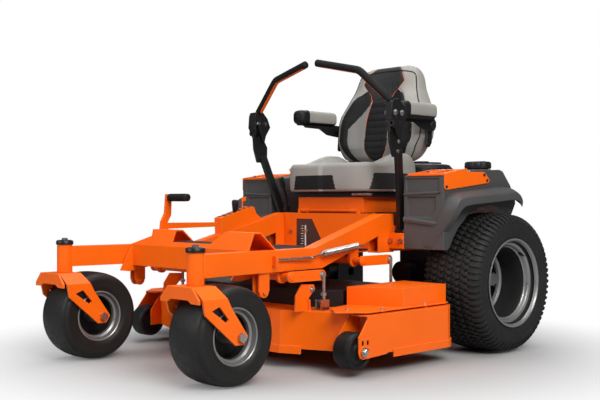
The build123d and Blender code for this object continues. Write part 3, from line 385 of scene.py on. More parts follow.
def loft(bm, rows, closed=True, caps=True, index=0):
    """A skin over rows of points, each row a ring of the same count."""
    made = [[bm.verts.new(point) for point in row] for row in rows]
    for low, high in zip(made, made[1:]):
        quads(bm, low, high, closed, index)
    if caps and closed:
        for row in (list(reversed(made[0])), made[-1]):
            bm.faces.new(row).material_index = index
    return made


def lathe(bm, profile, centre, axis="x", steps=96, closed=False, index=0):
    """Revolves (along, radius) points about an axis through centre."""
    rows = []
    for c, s in circle(steps):
        row = []
        for along, radius in profile:
            offset = {
                "x": (along, radius * c, radius * s),
                "y": (radius * s, along, radius * c),
                "z": (radius * c, radius * s, along),
            }[axis]
            row.append(bm.verts.new(Vector(centre) + Vector(offset)))
        rows.append(row)
    for step in range(steps):
        quads(bm, rows[(step + 1) % steps], rows[step], closed, index)
    return rows


def plate(bm, outline, axis, low, high, index=0):
    """A flat outline in the other two axes, extruded along axis."""
    def corner(a, b, along):
        return {"x": (along, a, b), "y": (a, along, b), "z": (a, b, along)}[axis]
    loft(bm, [[corner(a, b, low) for a, b in outline], [corner(a, b, high) for a, b in outline]], index=index)


def frames_along(points):
    """A steady pair of side directions for each point of a path."""
    tangents = []
    for k in range(len(points)):
        before, after = points[max(k - 1, 0)], points[min(k + 1, len(points) - 1)]
        tangents.append((after - before).normalized())
    up = Vector((0, 0, 1))
    if abs(tangents[0].dot(up)) > 0.9:
        up = Vector((0, 1, 0))
    side = tangents[0].cross(up).normalized()
    result = []
    for tangent in tangents:
        side = (side - tangent * side.dot(tangent)).normalized()
        result.append((side, tangent.cross(side).normalized()))
    return result


def tube(bm, points, radius, steps=16, index=0, caps=True):
    """A round tube along points; radius is a number or one value a point."""
    points = [Vector(p) for p in points]
    rows = []
    for k, (point, (side, rise)) in enumerate(zip(points, frames_along(points))):
        reach = radius[k] if isinstance(radius, (list, tuple)) else radius
        rows.append([point + (side * c + rise * s) * reach for c, s in circle(steps)])
    loft(bm, rows, caps=caps, index=index)


def smooth_path(points, per_span=8):
    """Catmull-Rom points through the given ones."""
    points = [Vector(p) for p in points]
    padded = [points[0] * 2 - points[1]] + points + [points[-1] * 2 - points[-2]]
    result = []
    for k in range(1, len(padded) - 2):
        a, b, c, d = padded[k - 1:k + 3]
        for step in range(per_span):
            t = step / per_span
            result.append(0.5 * (2 * b + (c - a) * t + (2 * a - 5 * b + 4 * c - d) * t * t
                                 + (3 * b - a - 3 * c + d) * t ** 3))
    result.append(points[-1])
    return result


def bolt(bm, place, direction, radius, index=0):
    """A hexagon head on a round washer."""
    place, direction = Vector(place), Vector(direction).normalized()
    side = direction.orthogonal().normalized()
    rise = direction.cross(side)

    def ring(reach, out, count):
        return [place + direction * out + (side * c + rise * s) * reach for c, s in circle(count)]
    washer = ((1.35, 0), (1.35, 0.16), (1.25, 0.22))
    head = ((1, 0.1), (1, 0.75), (0.86, 0.88))
    for count, steps in ((24, washer), (6, head)):
        loft(bm, [ring(radius * reach, radius * out, count) for reach, out in steps], index=index)


def fade_to_white(made):
    """Near the machine the floor keeps its grey, a painted shadow round the machine; away from it the floor
    turns into plain white, so no horizon shows.
    """
    tree = made.node_tree
    out = tree.nodes["Material Output"]
    surface = tree.nodes["Principled BSDF"].outputs[0]
    reach = node(tree, "VectorMath", operation="LENGTH")
    offset = node(tree, "VectorMath", operation="SUBTRACT")
    offset.inputs[1].default_value = MACHINE @ Vector((0, 800, 0))
    link(tree, node(tree, "NewGeometry").outputs["Position"], offset.inputs[0])
    link(tree, offset.outputs[0], reach.inputs[0])
    seen = node(tree, "Math", operation="MULTIPLY")
    fade = ranged(tree, reach.outputs["Value"], 0, 1, 0.7, 1.6)
    fade.node.interpolation_type = "SMOOTHSTEP"
    link(tree, fade, seen.inputs[0])
    link(tree, node(tree, "LightPath").outputs["Is Camera Ray"], seen.inputs[1])
    glow = node(tree, "Emission")
    glow.inputs["Strength"].default_value = 1.0
    mix = node(tree, "MixShader")
    link(tree, seen.outputs[0], mix.inputs[0])
    link(tree, surface, mix.inputs[1])
    link(tree, glow.outputs[0], mix.inputs[2])
    link(tree, mix.outputs[0], out.inputs["Surface"])


def add_floor():
    bm = bmesh.new()
    bmesh.ops.create_grid(bm, x_segments=8, y_segments=8, size=60000)
    mesh = bpy.data.meshes.new("floor")
    bm.to_mesh(mesh)
    bm.free()
    mesh.transform(MACHINE)
    # The floor's grey is a painted shadow, darker than the lamps alone make the ground round the machine.
    made = material("floor_painted_shadow", (0.40, 0.40, 0.405), 0.85, specular=0.1, grain=(300, 0.02),
                    mottle=(2, 0.01), rough_span=0.03)
    fade_to_white(made)
    mesh.materials.append(made)
    floor = bpy.data.objects.new("floor", mesh)
    bpy.context.scene.collection.objects.link(floor)


# ---- wheels ----
def arc_points(centre, radius, start, end, count):
    """Points on an arc in the (along, radius) plane, angles in degrees."""
    points = []
    for k in range(count):
        angle = math.radians(start + (end - start) * k / (count - 1))
        points.append((centre[0] + radius * math.cos(angle), centre[1] + radius * math.sin(angle)))
    return points


DRIVE_RADIUS = 277
TREAD_DEPTH = 8
TREAD_PITCHES = 68
TREAD_COLUMNS = 5
COLUMN_WIDTH = 37
SHOULDER_START = 94
CROWN_DROP = 7


def crown_radius(along):
    """The carcass radius across the flat of the tread."""
    return DRIVE_RADIUS - TREAD_DEPTH - CROWN_DROP * (along / SHOULDER_START) ** 2


def shoulder_profile():
    """The carcass from the tread's edge round the shoulder to the bead, as (along, radius)."""
    edge = crown_radius(SHOULDER_START)
    shoulder = arc_points((SHOULDER_START, edge - 38), 38, 90, 12, 9)
    wall = [(132.5, 216), (133, 208), (131.2, 205), (130.5, 198), (127, 186), (125.4, 183), (124.6, 180),
            (121, 174),
            (118, 168)]
    return shoulder + wall


def drive_tyre_mesh(bm, centre):
    crown = [(along, crown_radius(along)) for along in range(-80, 81, 20)]
    right = shoulder_profile()
    lathe(bm, flipped(right) + crown + right, centre, steps=160)


def on_wheel(centre, along, radius, angle):
    return Vector((centre[0] + along, centre[1] + radius * math.cos(angle), centre[2]
                   + radius * math.sin(angle)))


def tread_block_outline():
    """One rounded S block: (along, around) in millimetres, counted round its edge."""
    half, tall, shift = 16.2, 8.6, 4.6
    corner = 4.2
    points = []
    for x, y, start in ((half, tall + shift, 0), (-half, tall - shift, 90), (-half, -tall - shift, 180),
                        (half, -tall + shift, 270)):
        middle = (x - math.copysign(corner, x), y - (corner if start in (0, 90) else -corner))
        for step in (0, 30, 60, 90):
            angle = math.radians(start + step)
            points.append((middle[0] + corner * math.cos(angle), middle[1] + corner * math.sin(angle)))
        if start == 0:
            points += [(2.5, tall + shift), (-2.5, tall - shift)]
        if start == 180:
            points += [(-2.5, -tall - shift), (2.5, -tall + shift)]
    return points


def tread_mesh(bm, centre):
    """Staggered rows of S blocks and a row of curved lugs on each shoulder."""
    outline = tread_block_outline()
    for column in range(TREAD_COLUMNS):
        middle = (column - (TREAD_COLUMNS - 1) / 2) * COLUMN_WIDTH
        stagger = 0.5 * (column % 2)
        for index in range(TREAD_PITCHES):
            turn = 2 * math.pi * (index + stagger) / TREAD_PITCHES
            rows = []
            for rise, shrink in ((-1.5, 1.04), (TREAD_DEPTH - 2.0, 1.0), (TREAD_DEPTH, 0.86)):
                row = []
                for along, around in outline:
                    x = middle + along * shrink
                    reach = crown_radius(x) + rise
                    row.append(on_wheel(centre, x, reach, turn + around * shrink / DRIVE_RADIUS))
                rows.append(row)
            loft(bm, rows)
    profile = [(SHOULDER_START - 3, crown_radius(SHOULDER_START - 3))] + shoulder_profile()[:8]
    for side in (-1, 1):
        for index in range(TREAD_PITCHES):
            turn = 2 * math.pi * (index + 0.5 * (TREAD_COLUMNS % 2 and side > 0)) / TREAD_PITCHES
            rows = []
            for k, (along, radius) in enumerate(profile):
                share = k / (len(profile) - 1)
                width = 8.2 - 2.4 * share
                sway = 5.5 * math.sin(share * 2.6) * side
                angle = math.radians(90 - 80 * share)
                out = (math.cos(angle) * TREAD_DEPTH, math.sin(angle) * TREAD_DEPTH)
                lift = (1.0 - 0.55 * share ** 3)
                row = []
                for around, height in ((-width, -0.25), (-width * 0.94, 0.75), (-width * 0.75, 1.0),
                                       (width * 0.75, 1.0),
                                       (width * 0.94, 0.75), (width, -0.25)):
                    x = side * (along + out[0] * height * lift)
                    reach = radius + out[1] * height * lift
                    row.append(on_wheel(centre, x, reach, turn + (around + sway) / DRIVE_RADIUS))
                rows.append(row if side > 0 else list(reversed(row)))
            loft(bm, rows)


def wheel_disc(bm, centre, x, radius, hub, windows, half_deg, thickness, index=0):
    """A dished disc with a window between each pair of spokes."""
    outer, inner = radius * 0.92, hub + (radius - hub) * 0.14
    rings = [hub * 0.55, hub, inner, inner + (outer - inner) * 0.3, inner + (outer - inner) * 0.65, outer,
             radius]
    steps = windows * 24
    for face_x, flip_faces in ((x + thickness / 2, False), (x - thickness / 2, True)):
        grid = []
        for reach in rings:
            dish = 6 * (1 - min(1, (reach - rings[0]) / (radius * 0.5 - rings[0])))
            row = []
            for step in range(steps):
                angle = 2 * math.pi * step / steps
                row.append(bm.verts.new(on_wheel(centre, face_x - dish, reach, angle)))
            grid.append(row)
        for k in range(len(rings) - 1):
            for step in range(steps):
                place = (step + 0.5) / 24 % 1 * (360 / windows)
                off = abs(place - 180 / windows)
                share = (rings[k] + rings[k + 1]) / 2
                opening = half_deg * (0.45 + 0.55 * (share - inner) / (outer - inner))
                if inner <= share <= outer and off < opening:
                    continue
                following = (step + 1) % steps
                corners = [grid[k][step], grid[k + 1][step], grid[k + 1][following], grid[k][following]]
                bm.faces.new(reversed(corners) if flip_faces else corners).material_index = index


def bridge_open_edges(bm, limit):
    """Closes the gap between the two faces of a sheet along its open edges, where they lie close together."""
    open_edges = [edge for edge in bm.edges if edge.is_boundary]
    lookup = {}
    for edge in open_edges:
        a, b = (vert.co for vert in edge.verts)
        key = tuple(round(value, 1) for value in ((a + b) / 2)[1:])
        lookup.setdefault(key, []).append(edge)
    for pair in lookup.values():
        if len(pair) == 2:
            first, second = pair
            a, b = first.verts
            c, d = second.verts
            if (a.co - c.co).length > (a.co - d.co).length:
                c, d = d, c
            if (a.co - c.co).length < limit:
                bm.faces.new((a, b, d, c))


def drive_rim_mesh(bm, centre):
    """Rolled lip, two bright steps, a barrel in wheel_dark as painted shade, the spoked disc and the round
    hub cap. Outboard is +X.
    """
    lip = [(118, 168.5), (121, 172), (125, 175.5), (128.5, 175), (129.5, 171.5), (127, 168), (121, 165.5),
           (116, 163)]
    groove = [(116, 163), (111, 164.5), (105, 163), (101, 158)]
    step = [(101, 158), (98.5, 154), (97, 150), (94, 147.5), (86, 146), (82, 143.5), (80, 140)]
    barrel = [(80, 140), (70, 135), (40, 131), (0, 129), (-30, 128)]
    lathe(bm, lip, centre, steps=128)
    lathe(bm, step, centre, steps=128)
    # The groove and the barrel take wheel_dark, a painted shade for the deep inside of the wheel.
    lathe(bm, groove, centre, steps=128, index=1)
    lathe(bm, barrel, centre, steps=128, index=1)
    back = [(-38, 128), (-46, 134), (-60, 140), (-100, 150), (-116, 163), (-118, 168.5), (-124, 176),
            (-128, 175), (-128, 169),
            (-118, 160), (-60, 144), (-40, 138)]
    # The inboard side in wheel_dark: painted shade.
    lathe(bm, back, centre, steps=96, index=1)
    lathe(bm, [(-18, 128.8), (-21, 124), (-26, 117)], centre, steps=128)
    wheel_disc(bm, centre, -28, 119, 44, 5, 27, 7)
    bridge_open_edges(bm, 9)
    lathe(bm, [(-34, 46), (-28, 44), (-22, 40), (-20, 38)], centre, steps=64)
    # The hub's groove and its inner stub in wheel_dark: painted shade.
    lathe(bm, [(-20, 38), (-21, 35), (-20, 32)], centre, steps=64, index=1)
    lathe(bm, [(-22, 32), (-6, 31.5), (-3.8, 30), (-2.5, 26), (-2.5, 0.5)], centre, steps=64)
    lathe(bm, [(-36, 30), (-76, 30), (-80, 60), (-86, 60), (-86, 1)], centre, steps=48, index=1)


def caster_tyre_mesh(bm, centre):
    """A smooth tyre: a wide, slightly crowned tread, round shoulders with a fine ridge, and plain walls."""
    half = [(0, 165), (22, 164.8), (44, 163.6), (60, 161.2)]
    half += arc_points((60, 137), 24, 84, 12, 9)
    half += [(84.2, 136), (82.6, 132), (82.2, 126), (81.4, 116), (79.8, 106), (77.5, 101.5), (76.4, 99.5),
             (75, 97), (71, 93),
             (67, 91)]
    lathe(bm, flipped(half[1:]) + half, centre, steps=144)


def caster_rim_mesh(bm, centre):
    for side in (-1, 1):
        lip = [(66, 91), (69, 94.5), (73, 95), (75, 92), (73, 89), (67, 87), (62, 85), (57, 83.5), (55, 80),
               (53, 76), (47, 75),
               (40, 74.5)]
        barrel = [(40, 74.5), (20, 71), (4, 70)]
        if side < 0:
            lip = [(-along, radius) for along, radius in lip]
            barrel = [(-along, radius) for along, radius in barrel]
        lathe(bm, lip, centre, steps=96)
        # The barrel takes wheel_dark, a painted shade for the inside of the wheel.
        lathe(bm, barrel, centre, steps=96, index=1)
        lathe(bm, [(side * 4, 26), (side * 30, 25), (side * 66, 24), (side * 73, 23), (side * 75, 20),
                   (side * 75, 10)], centre,
              steps=48)
    # The solid disc takes wheel_dark, a painted shade standing in for the wheel's shaded inside.
    wheel_disc(bm, centre, 6, 70, 26, 5, 0, 5, index=1)
    bridge_open_edges(bm, 8)


def valve_mesh(bm, centre, x, reach, angle):
    start = on_wheel(centre, x, reach, angle)
    end = on_wheel(centre, x + 26, reach - 14, angle)
    tube(bm, [start, start.lerp(end, 0.6), start.lerp(end, 0.62), end], [6.5, 5, 3.6, 3.4], steps=12)


def centre_of(node_name):
    low, high = box_mm(node_name)
    return (low + high) / 2


def add_wheels():
    for side, mirror in SIDES:
        centre = centre_of(f"drive_tyre_{side}")
        centre.x = abs(centre.x)
        bm = bmesh.new()
        drive_tyre_mesh(bm, centre)
        finish_piece(f"turf_tyre_{side}", bm, f"drive_wheel_{side}", "tyre_rubber", [f"drive_tyre_{side}"],
                     mirror)
        bm = bmesh.new()
        tread_mesh(bm, centre)
        finish_piece(f"turf_tread_{side}", bm, f"drive_wheel_{side}", "tyre_rubber", mirror=mirror, sharp=50)
        bm = bmesh.new()
        drive_rim_mesh(bm, centre)
        # Its second finish, wheel_dark, is painted shade inside the rim.
        finish_piece(f"wheel_disc_{side}", bm, f"drive_wheel_{side}", "wheel_grey", [f"drive_rim_{side}"],
                     mirror, finishes=["wheel_grey", "wheel_dark"])
        bm = bmesh.new()
        valve_mesh(bm, centre, 90, 147, math.radians(50))
        finish_piece(f"valve_{side}", bm, f"drive_wheel_{side}", "black_plastic", mirror=mirror)
        centre = centre_of(f"caster_tyre_{side}")
        bm = bmesh.new()
        caster_tyre_mesh(bm, centre)
        finish_piece(f"smooth_tyre_{side}", bm, f"caster_wheel_{side}", "tyre_rubber",
                     [f"caster_tyre_{side}"], finishes=["caster_rubber"])
        bm = bmesh.new()
        caster_rim_mesh(bm, centre)
        # Its second finish, wheel_dark, is painted shade inside the rim.
        finish_piece(f"caster_wheel_rim_{side}", bm, f"caster_wheel_{side}", "wheel_grey",
                     [f"caster_rim_{side}"], finishes=["wheel_grey", "wheel_dark"])


# ---- fenders ----
def cut_with(piece_mesh, cutters):
    """The mesh of a solid less a few cutters."""
    base = bpy.data.objects.new("cut_base", piece_mesh)
    bpy.context.scene.collection.objects.link(base)
    tools = []
    for cutter in cutters:
        tool = bpy.data.objects.new("cut_tool", cutter)
        bpy.context.scene.collection.objects.link(tool)
        step = base.modifiers.new("cut", "BOOLEAN")
        step.operation = "DIFFERENCE"
        step.solver = "EXACT"
        step.object = tool
        tools.append(tool)
    depsgraph = bpy.context.evaluated_depsgraph_get()
    result = bpy.data.meshes.new_from_object(base.evaluated_get(depsgraph))
    for made in [base] + tools:
        bpy.data.objects.remove(made)
    return result


def mesh_of(build, *arguments):
    bm = bmesh.new()
    build(bm, *arguments)
    bmesh.ops.recalc_face_normals(bm, faces=bm.faces)
    mesh = bpy.data.meshes.new("part")
    bm.to_mesh(mesh)
    bm.free()
    return mesh


POD_IN, POD_OUT = 384, 578
POD_FRONT = 950
ARCH_CENTRE = (1261, 277)
ARCH_RADIUS = 307


def arch_point(degrees):
    angle = math.radians(degrees)
    return (ARCH_CENTRE[0] + ARCH_RADIUS * math.cos(angle), ARCH_CENTRE[1] + ARCH_RADIUS * math.sin(angle))


def pod_solid(bm):
    outline = [(POD_FRONT, 412), (POD_FRONT, 694), (958, 702), (1096, 706), (1130, 722), (1330, 728),
               (1352, 722),
               (1404, 668), (1440, 620), (1446, 590)]
    outline += [arch_point(degrees) for degrees in (60, 75, 90, 105, 120, 135, 145, 152)]
    outline += [(978, 412)]
    plate(bm, outline, "x", POD_IN, POD_OUT)


def tapered_cutter(bm, x, z, depth):
    """A recess in the front face, its floor smaller than its mouth and its top edge undercut less."""
    inset = depth * 0.45
    mouth = [(x[0], POD_FRONT - 5, z[0]), (x[1], POD_FRONT - 5, z[0]), (x[1], POD_FRONT - 5, z[1]),
             (x[0], POD_FRONT - 5, z[1])]
    floor_x, floor_z = (x[0] + inset, x[1] - inset), (z[0] + inset, z[1] - inset)
    deep = POD_FRONT + depth
    bed = [(floor_x[0], deep, floor_z[0]), (floor_x[1], deep, floor_z[0]), (floor_x[1], deep, floor_z[1]),
           (floor_x[0], deep, floor_z[1])]
    loft(bm, [mouth, bed])


def cup_cutter(bm, x, y, radius, low, high):
    lathe(bm, [(low, 0.5), (low, radius * 0.9), (high, radius)], (x, y, 0), axis="z", steps=40)
    top = [vert for vert in bm.verts if abs(vert.co.z - high) < 0.01]
    bottom = [vert for vert in bm.verts if abs(vert.co.z - low) < 0.01
              and (vert.co.xy - Vector((x, y))).length < 1]
    bmesh.ops.contextual_create(bm, geom=top)
    bmesh.ops.contextual_create(bm, geom=bottom)


FLARE_STATIONS = (
    # crease on the pod, round of the shoulder, outer edge, foot of the lip
    ((470, 950, 411), (500, 948, 411), (526, 949, 411), (530, 980, 413)),
    ((478, 950, 440), (508, 946, 438), (537, 949, 434), (543, 978, 436)),
    ((500, 950, 482), (532, 944, 478), (566, 947, 474), (574, 976, 474)),
    ((523, 950, 522), (560, 943, 517), (600, 946, 512), (607, 976, 510)),
    ((545, 951, 560), (584, 943, 555), (626, 946, 549), (634, 976, 545)),
    ((562, 953, 586), (600, 945, 583), (638, 949, 577), (644, 980, 564)),
    ((574, 960, 607), (608, 955, 604), (642, 960, 597), (647, 988, 572)),
    ((580, 978, 624), (612, 976, 620), (642, 982, 609), (648, 1004, 579)),
    ((581, 1010, 634), (612, 1010, 629), (642, 1012, 615), (648, 1026, 583)),
    ((581, 1080, 640), (612, 1080, 635), (642, 1080, 619), (648, 1084, 587)),
    ((581, 1170, 646), (612, 1170, 641), (642, 1170, 624), (648, 1170, 592)),
    ((581, 1260, 653), (612, 1260, 648), (642, 1260, 630), (648, 1260, 598)),
    ((581, 1330, 658), (612, 1328, 653), (642, 1322, 635), (648, 1318, 603)),
    ((581, 1372, 657), (612, 1368, 652), (641, 1360, 634), (647, 1352, 603)),
    ((581, 1402, 648), (611, 1397, 643), (639, 1388, 627), (645, 1376, 597)),
    ((580, 1424, 630), (609, 1419, 625), (635, 1410, 611), (641, 1396, 584)),
    ((579, 1440, 606), (606, 1436, 601), (629, 1428, 589), (635, 1414, 566)),
)


def flare_rows():
    """The flare's skin: pod side, over the round, down the lip, and back under it."""
    rows = []
    for crease, top, edge, foot in FLARE_STATIONS:
        crease, top, edge, foot = (Vector(point) for point in (crease, top, edge, foot))
        inward = (crease - edge).normalized()
        under = foot + inward * 5
        sunk = edge.lerp(foot, 0.45) + inward * 7
        crown = top - crease.lerp(edge, 0.5)
        rows.append([
            crease + inward * 22, crease, crease.lerp(top, 0.5) + crown * 0.25, top,
            top.lerp(edge, 0.7) + crown * 0.2, edge, edge.lerp(foot, 0.15), foot, under, sunk,
            crease + (foot - edge) * 0.32 + inward * 10,
        ])
    return rows


def fender_pod(side, mirror):
    pod = mesh_of(pod_solid)
    cutters = [
        mesh_of(tapered_cutter, (394, 556), (628, 690), 5),
        mesh_of(tapered_cutter, (400, 540), (535, 618), 7),
        mesh_of(cup_cutter, 498, 1018, 42, 632, 730),
    ]
    shaped = cut_with(pod, cutters)
    bm = bmesh.new()
    bm.from_mesh(shaped)
    bmesh.ops.remove_doubles(bm, verts=bm.verts, dist=0.05)
    piece = finish_piece(f"fender_tank_{side}", bm, "chassis", "grey_plastic", [f"fender_{side}"], mirror,
                         sharp=30, bevel=5)
    piece.modifiers["edges"].segments = 3
    piece.modifiers["edges"].angle_limit = math.radians(24)
    bm = bmesh.new()
    loft(bm, flare_rows(), closed=True)
    finish_piece(f"fender_flare_{side}", bm, "chassis", "grey_plastic", mirror=mirror, sharp=0, levels=2)
    bm = bmesh.new()
    loft(bm, [[(386, 948, 540), (386, 941, 530), (386, 943, 519), (386, 952, 515)],
              [(548, 948, 522), (548, 942, 513), (548, 944, 503), (548, 952, 499)]], closed=False, caps=False)
    loft(bm, [[(386, 952, 634), (386, 945, 629), (386, 945, 624), (386, 952, 620)],
              [(560, 952, 640), (560, 945, 635), (560, 945, 630), (560, 952, 626)]], closed=False, caps=False)
    finish_piece(f"fender_ledges_{side}", bm, "chassis", "grey_plastic", mirror=mirror)


def tray_frame(bm):
    """The cup tray's sloping frame, one thick sheet with two openings."""

    def top(y):
        return 707 + 20 * (y - 948) / 154
    xs = (404, 416, 474, 484, 566, 577)
    ys = (948, 962, 1086, 1102)
    for i in range(5):
        for j in range(3):
            if j == 1 and i in (1, 3):
                continue
            rows = []
            for lift in (-9, 0):
                cell = rectangle(xs[i], xs[i + 1], ys[j], ys[j + 1])
                rows.append([(x, y, top(y) + lift) for x, y in cell])
            loft(bm, rows)
    bmesh.ops.remove_doubles(bm, verts=bm.verts, dist=0.1)


def badge_plate(bm):
    outline = [(952, 706), (952, 652), (958, 644), (968, 643), (1240, 672), (1248, 678), (1250, 686),
               (1222, 712),
               (1214, 716), (1104, 715), (1096, 722), (1090, 727), (1080, 727)]
    plate(bm, outline, "x", 578, 583)


FILLER = (480, 1316)


def add_fenders():
    for side, mirror in SIDES:
        fender_pod(side, mirror)
        bm = bmesh.new()
        tray_frame(bm)
        badge_plate(bm)
        finish_piece(f"fender_badge_{side}", bm, "chassis", "orange_paint",
                     ["fender_trims"] if not mirror else (), mirror, bevel=1.4)
        bm = bmesh.new()
        for y, z in ((962, 655), (1232, 683), (1212, 705)):
            bolt(bm, (583, y, z), (1, 0, 0), 5)
        bolt(bm, (500, 955, 712), (0, -0.2, 1), 5)
        finish_piece(f"badge_bolts_{side}", bm, "chassis", "black_metal", mirror=mirror)
        bm = bmesh.new()
        cap_mesh(bm)
        finish_piece(f"tank_cap_{side}", bm, f"cap_{side}", "black_plastic", [f"fuel_cap_{side}"], mirror,
                     sharp=40)
        bm = bmesh.new()
        lathe(bm, [(700, 64), (716, 62), (727, 58), (731, 52), (731, 30)], (*FILLER, 0), axis="z", steps=64)
        finish_piece(f"filler_neck_{side}", bm, "chassis", "grey_plastic", mirror=mirror)


def cap_mesh(bm):
    """A low cap with finger flutes round its rim and a sunk middle."""
    steps = 120
    rows = []
    for z, radius, depth in ((733, 50, 0.0), (736, 55, 0.05), (744, 56, 0.075), (756, 55, 0.075),
                             (761, 52, 0.06), (763, 47, 0.02),
                             (762, 40, 0.0), (759, 36, 0.0), (758.5, 12, 0.0)):
        ring = []
        for step in range(steps):
            angle = 2 * math.pi * step / steps
            flute = 1 - depth * (0.5 + 0.5 * math.cos(10 * angle)) ** 3
            reach = radius * flute
            ring.append((FILLER[0] + reach * math.cos(angle), FILLER[1] + reach * math.sin(angle), z))
        rows.append(ring)
    loft(bm, rows)
    plate(bm, rectangle(446, 514, 1311, 1321), "z", 757, 765)


# ---- seat ----
def eased(value, low, high):
    """0 below low, 1 above high, smooth between."""
    share = max(0.0, min(1.0, (value - low) / (high - low)))
    return share * share * (3 - 2 * share)


def between(value, table):
    """A straight-line read of (place, value) pairs."""
    for (a, b), (c, d) in zip(table, table[1:]):
        if value <= c:
            return b + (d - b) * max(0.0, (value - a) / (c - a))
    return table[-1][1]


def bell(value, middle, spread):
    return math.exp(-((value - middle) / spread) ** 2)


BACK_LOW, BACK_HIGH = 772, 1204
BACK_WIDTHS = ((0, 186), (0.1, 218), (0.24, 248), (0.4, 251), (0.5, 243), (0.62, 213), (0.74, 188),
               (0.86, 173), (0.95, 162),
               (1, 150))
BACK_FRONT = ((0, 1222), (0.15, 1218), (0.45, 1238), (0.62, 1260), (0.85, 1292), (1, 1310))
BACK_REAR = ((0, 1326), (0.2, 1362), (0.55, 1382), (0.85, 1388), (1, 1368))
CENTRE_EDGE = ((0, 0.10), (0.05, 0.20), (0.12, 0.27), (0.35, 0.265), (0.62, 0.25), (0.70, 0.33),
               (0.83, 0.67), (0.9, 0.61),
               (1, 0.52))
BAND_OUTER = ((0, 0.76), (0.2, 0.84), (0.33, 0.83), (0.45, 0.80), (0.57, 0.75), (0.69, 0.69), (0.77, 0.45))
BAND_INNER = ((0, 0.55), (0.1, 0.60), (0.35, 0.61), (0.49, 0.40), (0.61, 0.27), (0.8, 0.25))
CHANNEL_TOP = 0.64
CHANNELS = 9


def back_surface(u, t, front=True):
    """A point of the backrest: u across from -1 to 1, t up from 0 to 1."""
    cap = (1 - min(1.0, max(0.0, (t - 0.86) / 0.14)) ** 2.6) ** (1 / 2.6)
    base = math.sqrt(max(0.0, 1 - max(0.0, (0.07 - t) / 0.07) ** 2))
    close = min(cap, base)
    width = between(t, BACK_WIDTHS) * (0.55 + 0.45 * cap) * (0.9 + 0.1 * base)
    near, far = between(t, BACK_FRONT), between(t, BACK_REAR)
    middle = (near + far) / 2
    half = (far - near) / 2 * (0.12 + 0.88 * close)
    z = BACK_LOW + (BACK_HIGH - BACK_LOW) * t
    side = abs(u)
    if not front:
        return Vector((width * u, middle + half * (1 - side ** 3.2) ** (1 / 3.2), z))
    fall = (1 - min(1.0, side) ** 4.5) ** (1 / 4.5)
    y = middle - half * fall
    bolster = 30 * bell(side, 0.72, 0.24) * eased(t, 0.02, 0.2) * (1 - eased(t, 0.62, 0.82))
    shoulder = 12 * bell(side, 0.62, 0.3) * eased(t, 0.7, 0.85) * close
    y -= (bolster + shoulder) * fall
    edge = between(t, CENTRE_EDGE)
    if side < edge and t < CHANNEL_TOP:
        phase = (t / CHANNEL_TOP) * CHANNELS
        y -= 4.5 * abs(math.sin(math.pi * phase)) ** 0.5 * (1 - (side / edge) ** 6)
    y += 4.0 * bell(side, edge, 0.022) * fall
    y += 3.0 * bell(t, CHANNEL_TOP, 0.012) * (1 if side < edge else 0)
    if t < 0.8:
        y += 2.6 * bell(side, between(t, BAND_OUTER), 0.02) + 2.0 * bell(side, between(t, BAND_INNER), 0.02)
    return Vector((width * u, y, z))


def back_finish(u, t):
    """Which vinyl shows at a place on the front: 0 light, 1 black, 2 charcoal, 3 grey."""
    side = abs(u)
    if side < between(t, CENTRE_EDGE):
        return 1 if t < CHANNEL_TOP else 2
    top = 0.69 + 0.07 * (0.69 - side) / 0.3
    if t < top and between(t, BAND_INNER) < side < between(t, BAND_OUTER):
        return 1
    if t < 0.6 and side < between(t, BAND_INNER):
        return 3
    return 0


def back_mesh(bm):
    across, up = 120, 150
    us = [math.sin(math.pi / 2 * (2 * k / across - 1)) * 0.35 + (2 * k / across - 1) * 0.65
          for k in range(across + 1)]
    grids = []
    for front in (True, False):
        grid = [[bm.verts.new(back_surface(u, j / up, front)) for u in us] for j in range(up + 1)]
        for j in range(up):
            for k in range(across):
                corners = (grid[j][k], grid[j][k + 1], grid[j + 1][k + 1], grid[j + 1][k])
                face = bm.faces.new(corners if front else reversed(corners))
                face.material_index = back_finish((us[k] + us[k + 1]) / 2, (j + 0.5) / up) if front else 0
        grids.append(grid)
    front, rear = grids
    for j in range(up):
        for k in (0, across):
            bm.faces.new((front[j][k], front[j + 1][k], rear[j + 1][k], rear[j][k]))
    for j in (0, up):
        for k in range(across):
            bm.faces.new((front[j][k], front[j][k + 1], rear[j][k + 1], rear[j][k]))
    bmesh.ops.remove_doubles(bm, verts=bm.verts, dist=0.2)


def back_line(places, lift=1.0):
    """Points of a seam on the backrest's front, just proud of it."""
    return [back_surface(u, t) + Vector((0, -lift, 0)) for u, t in places]


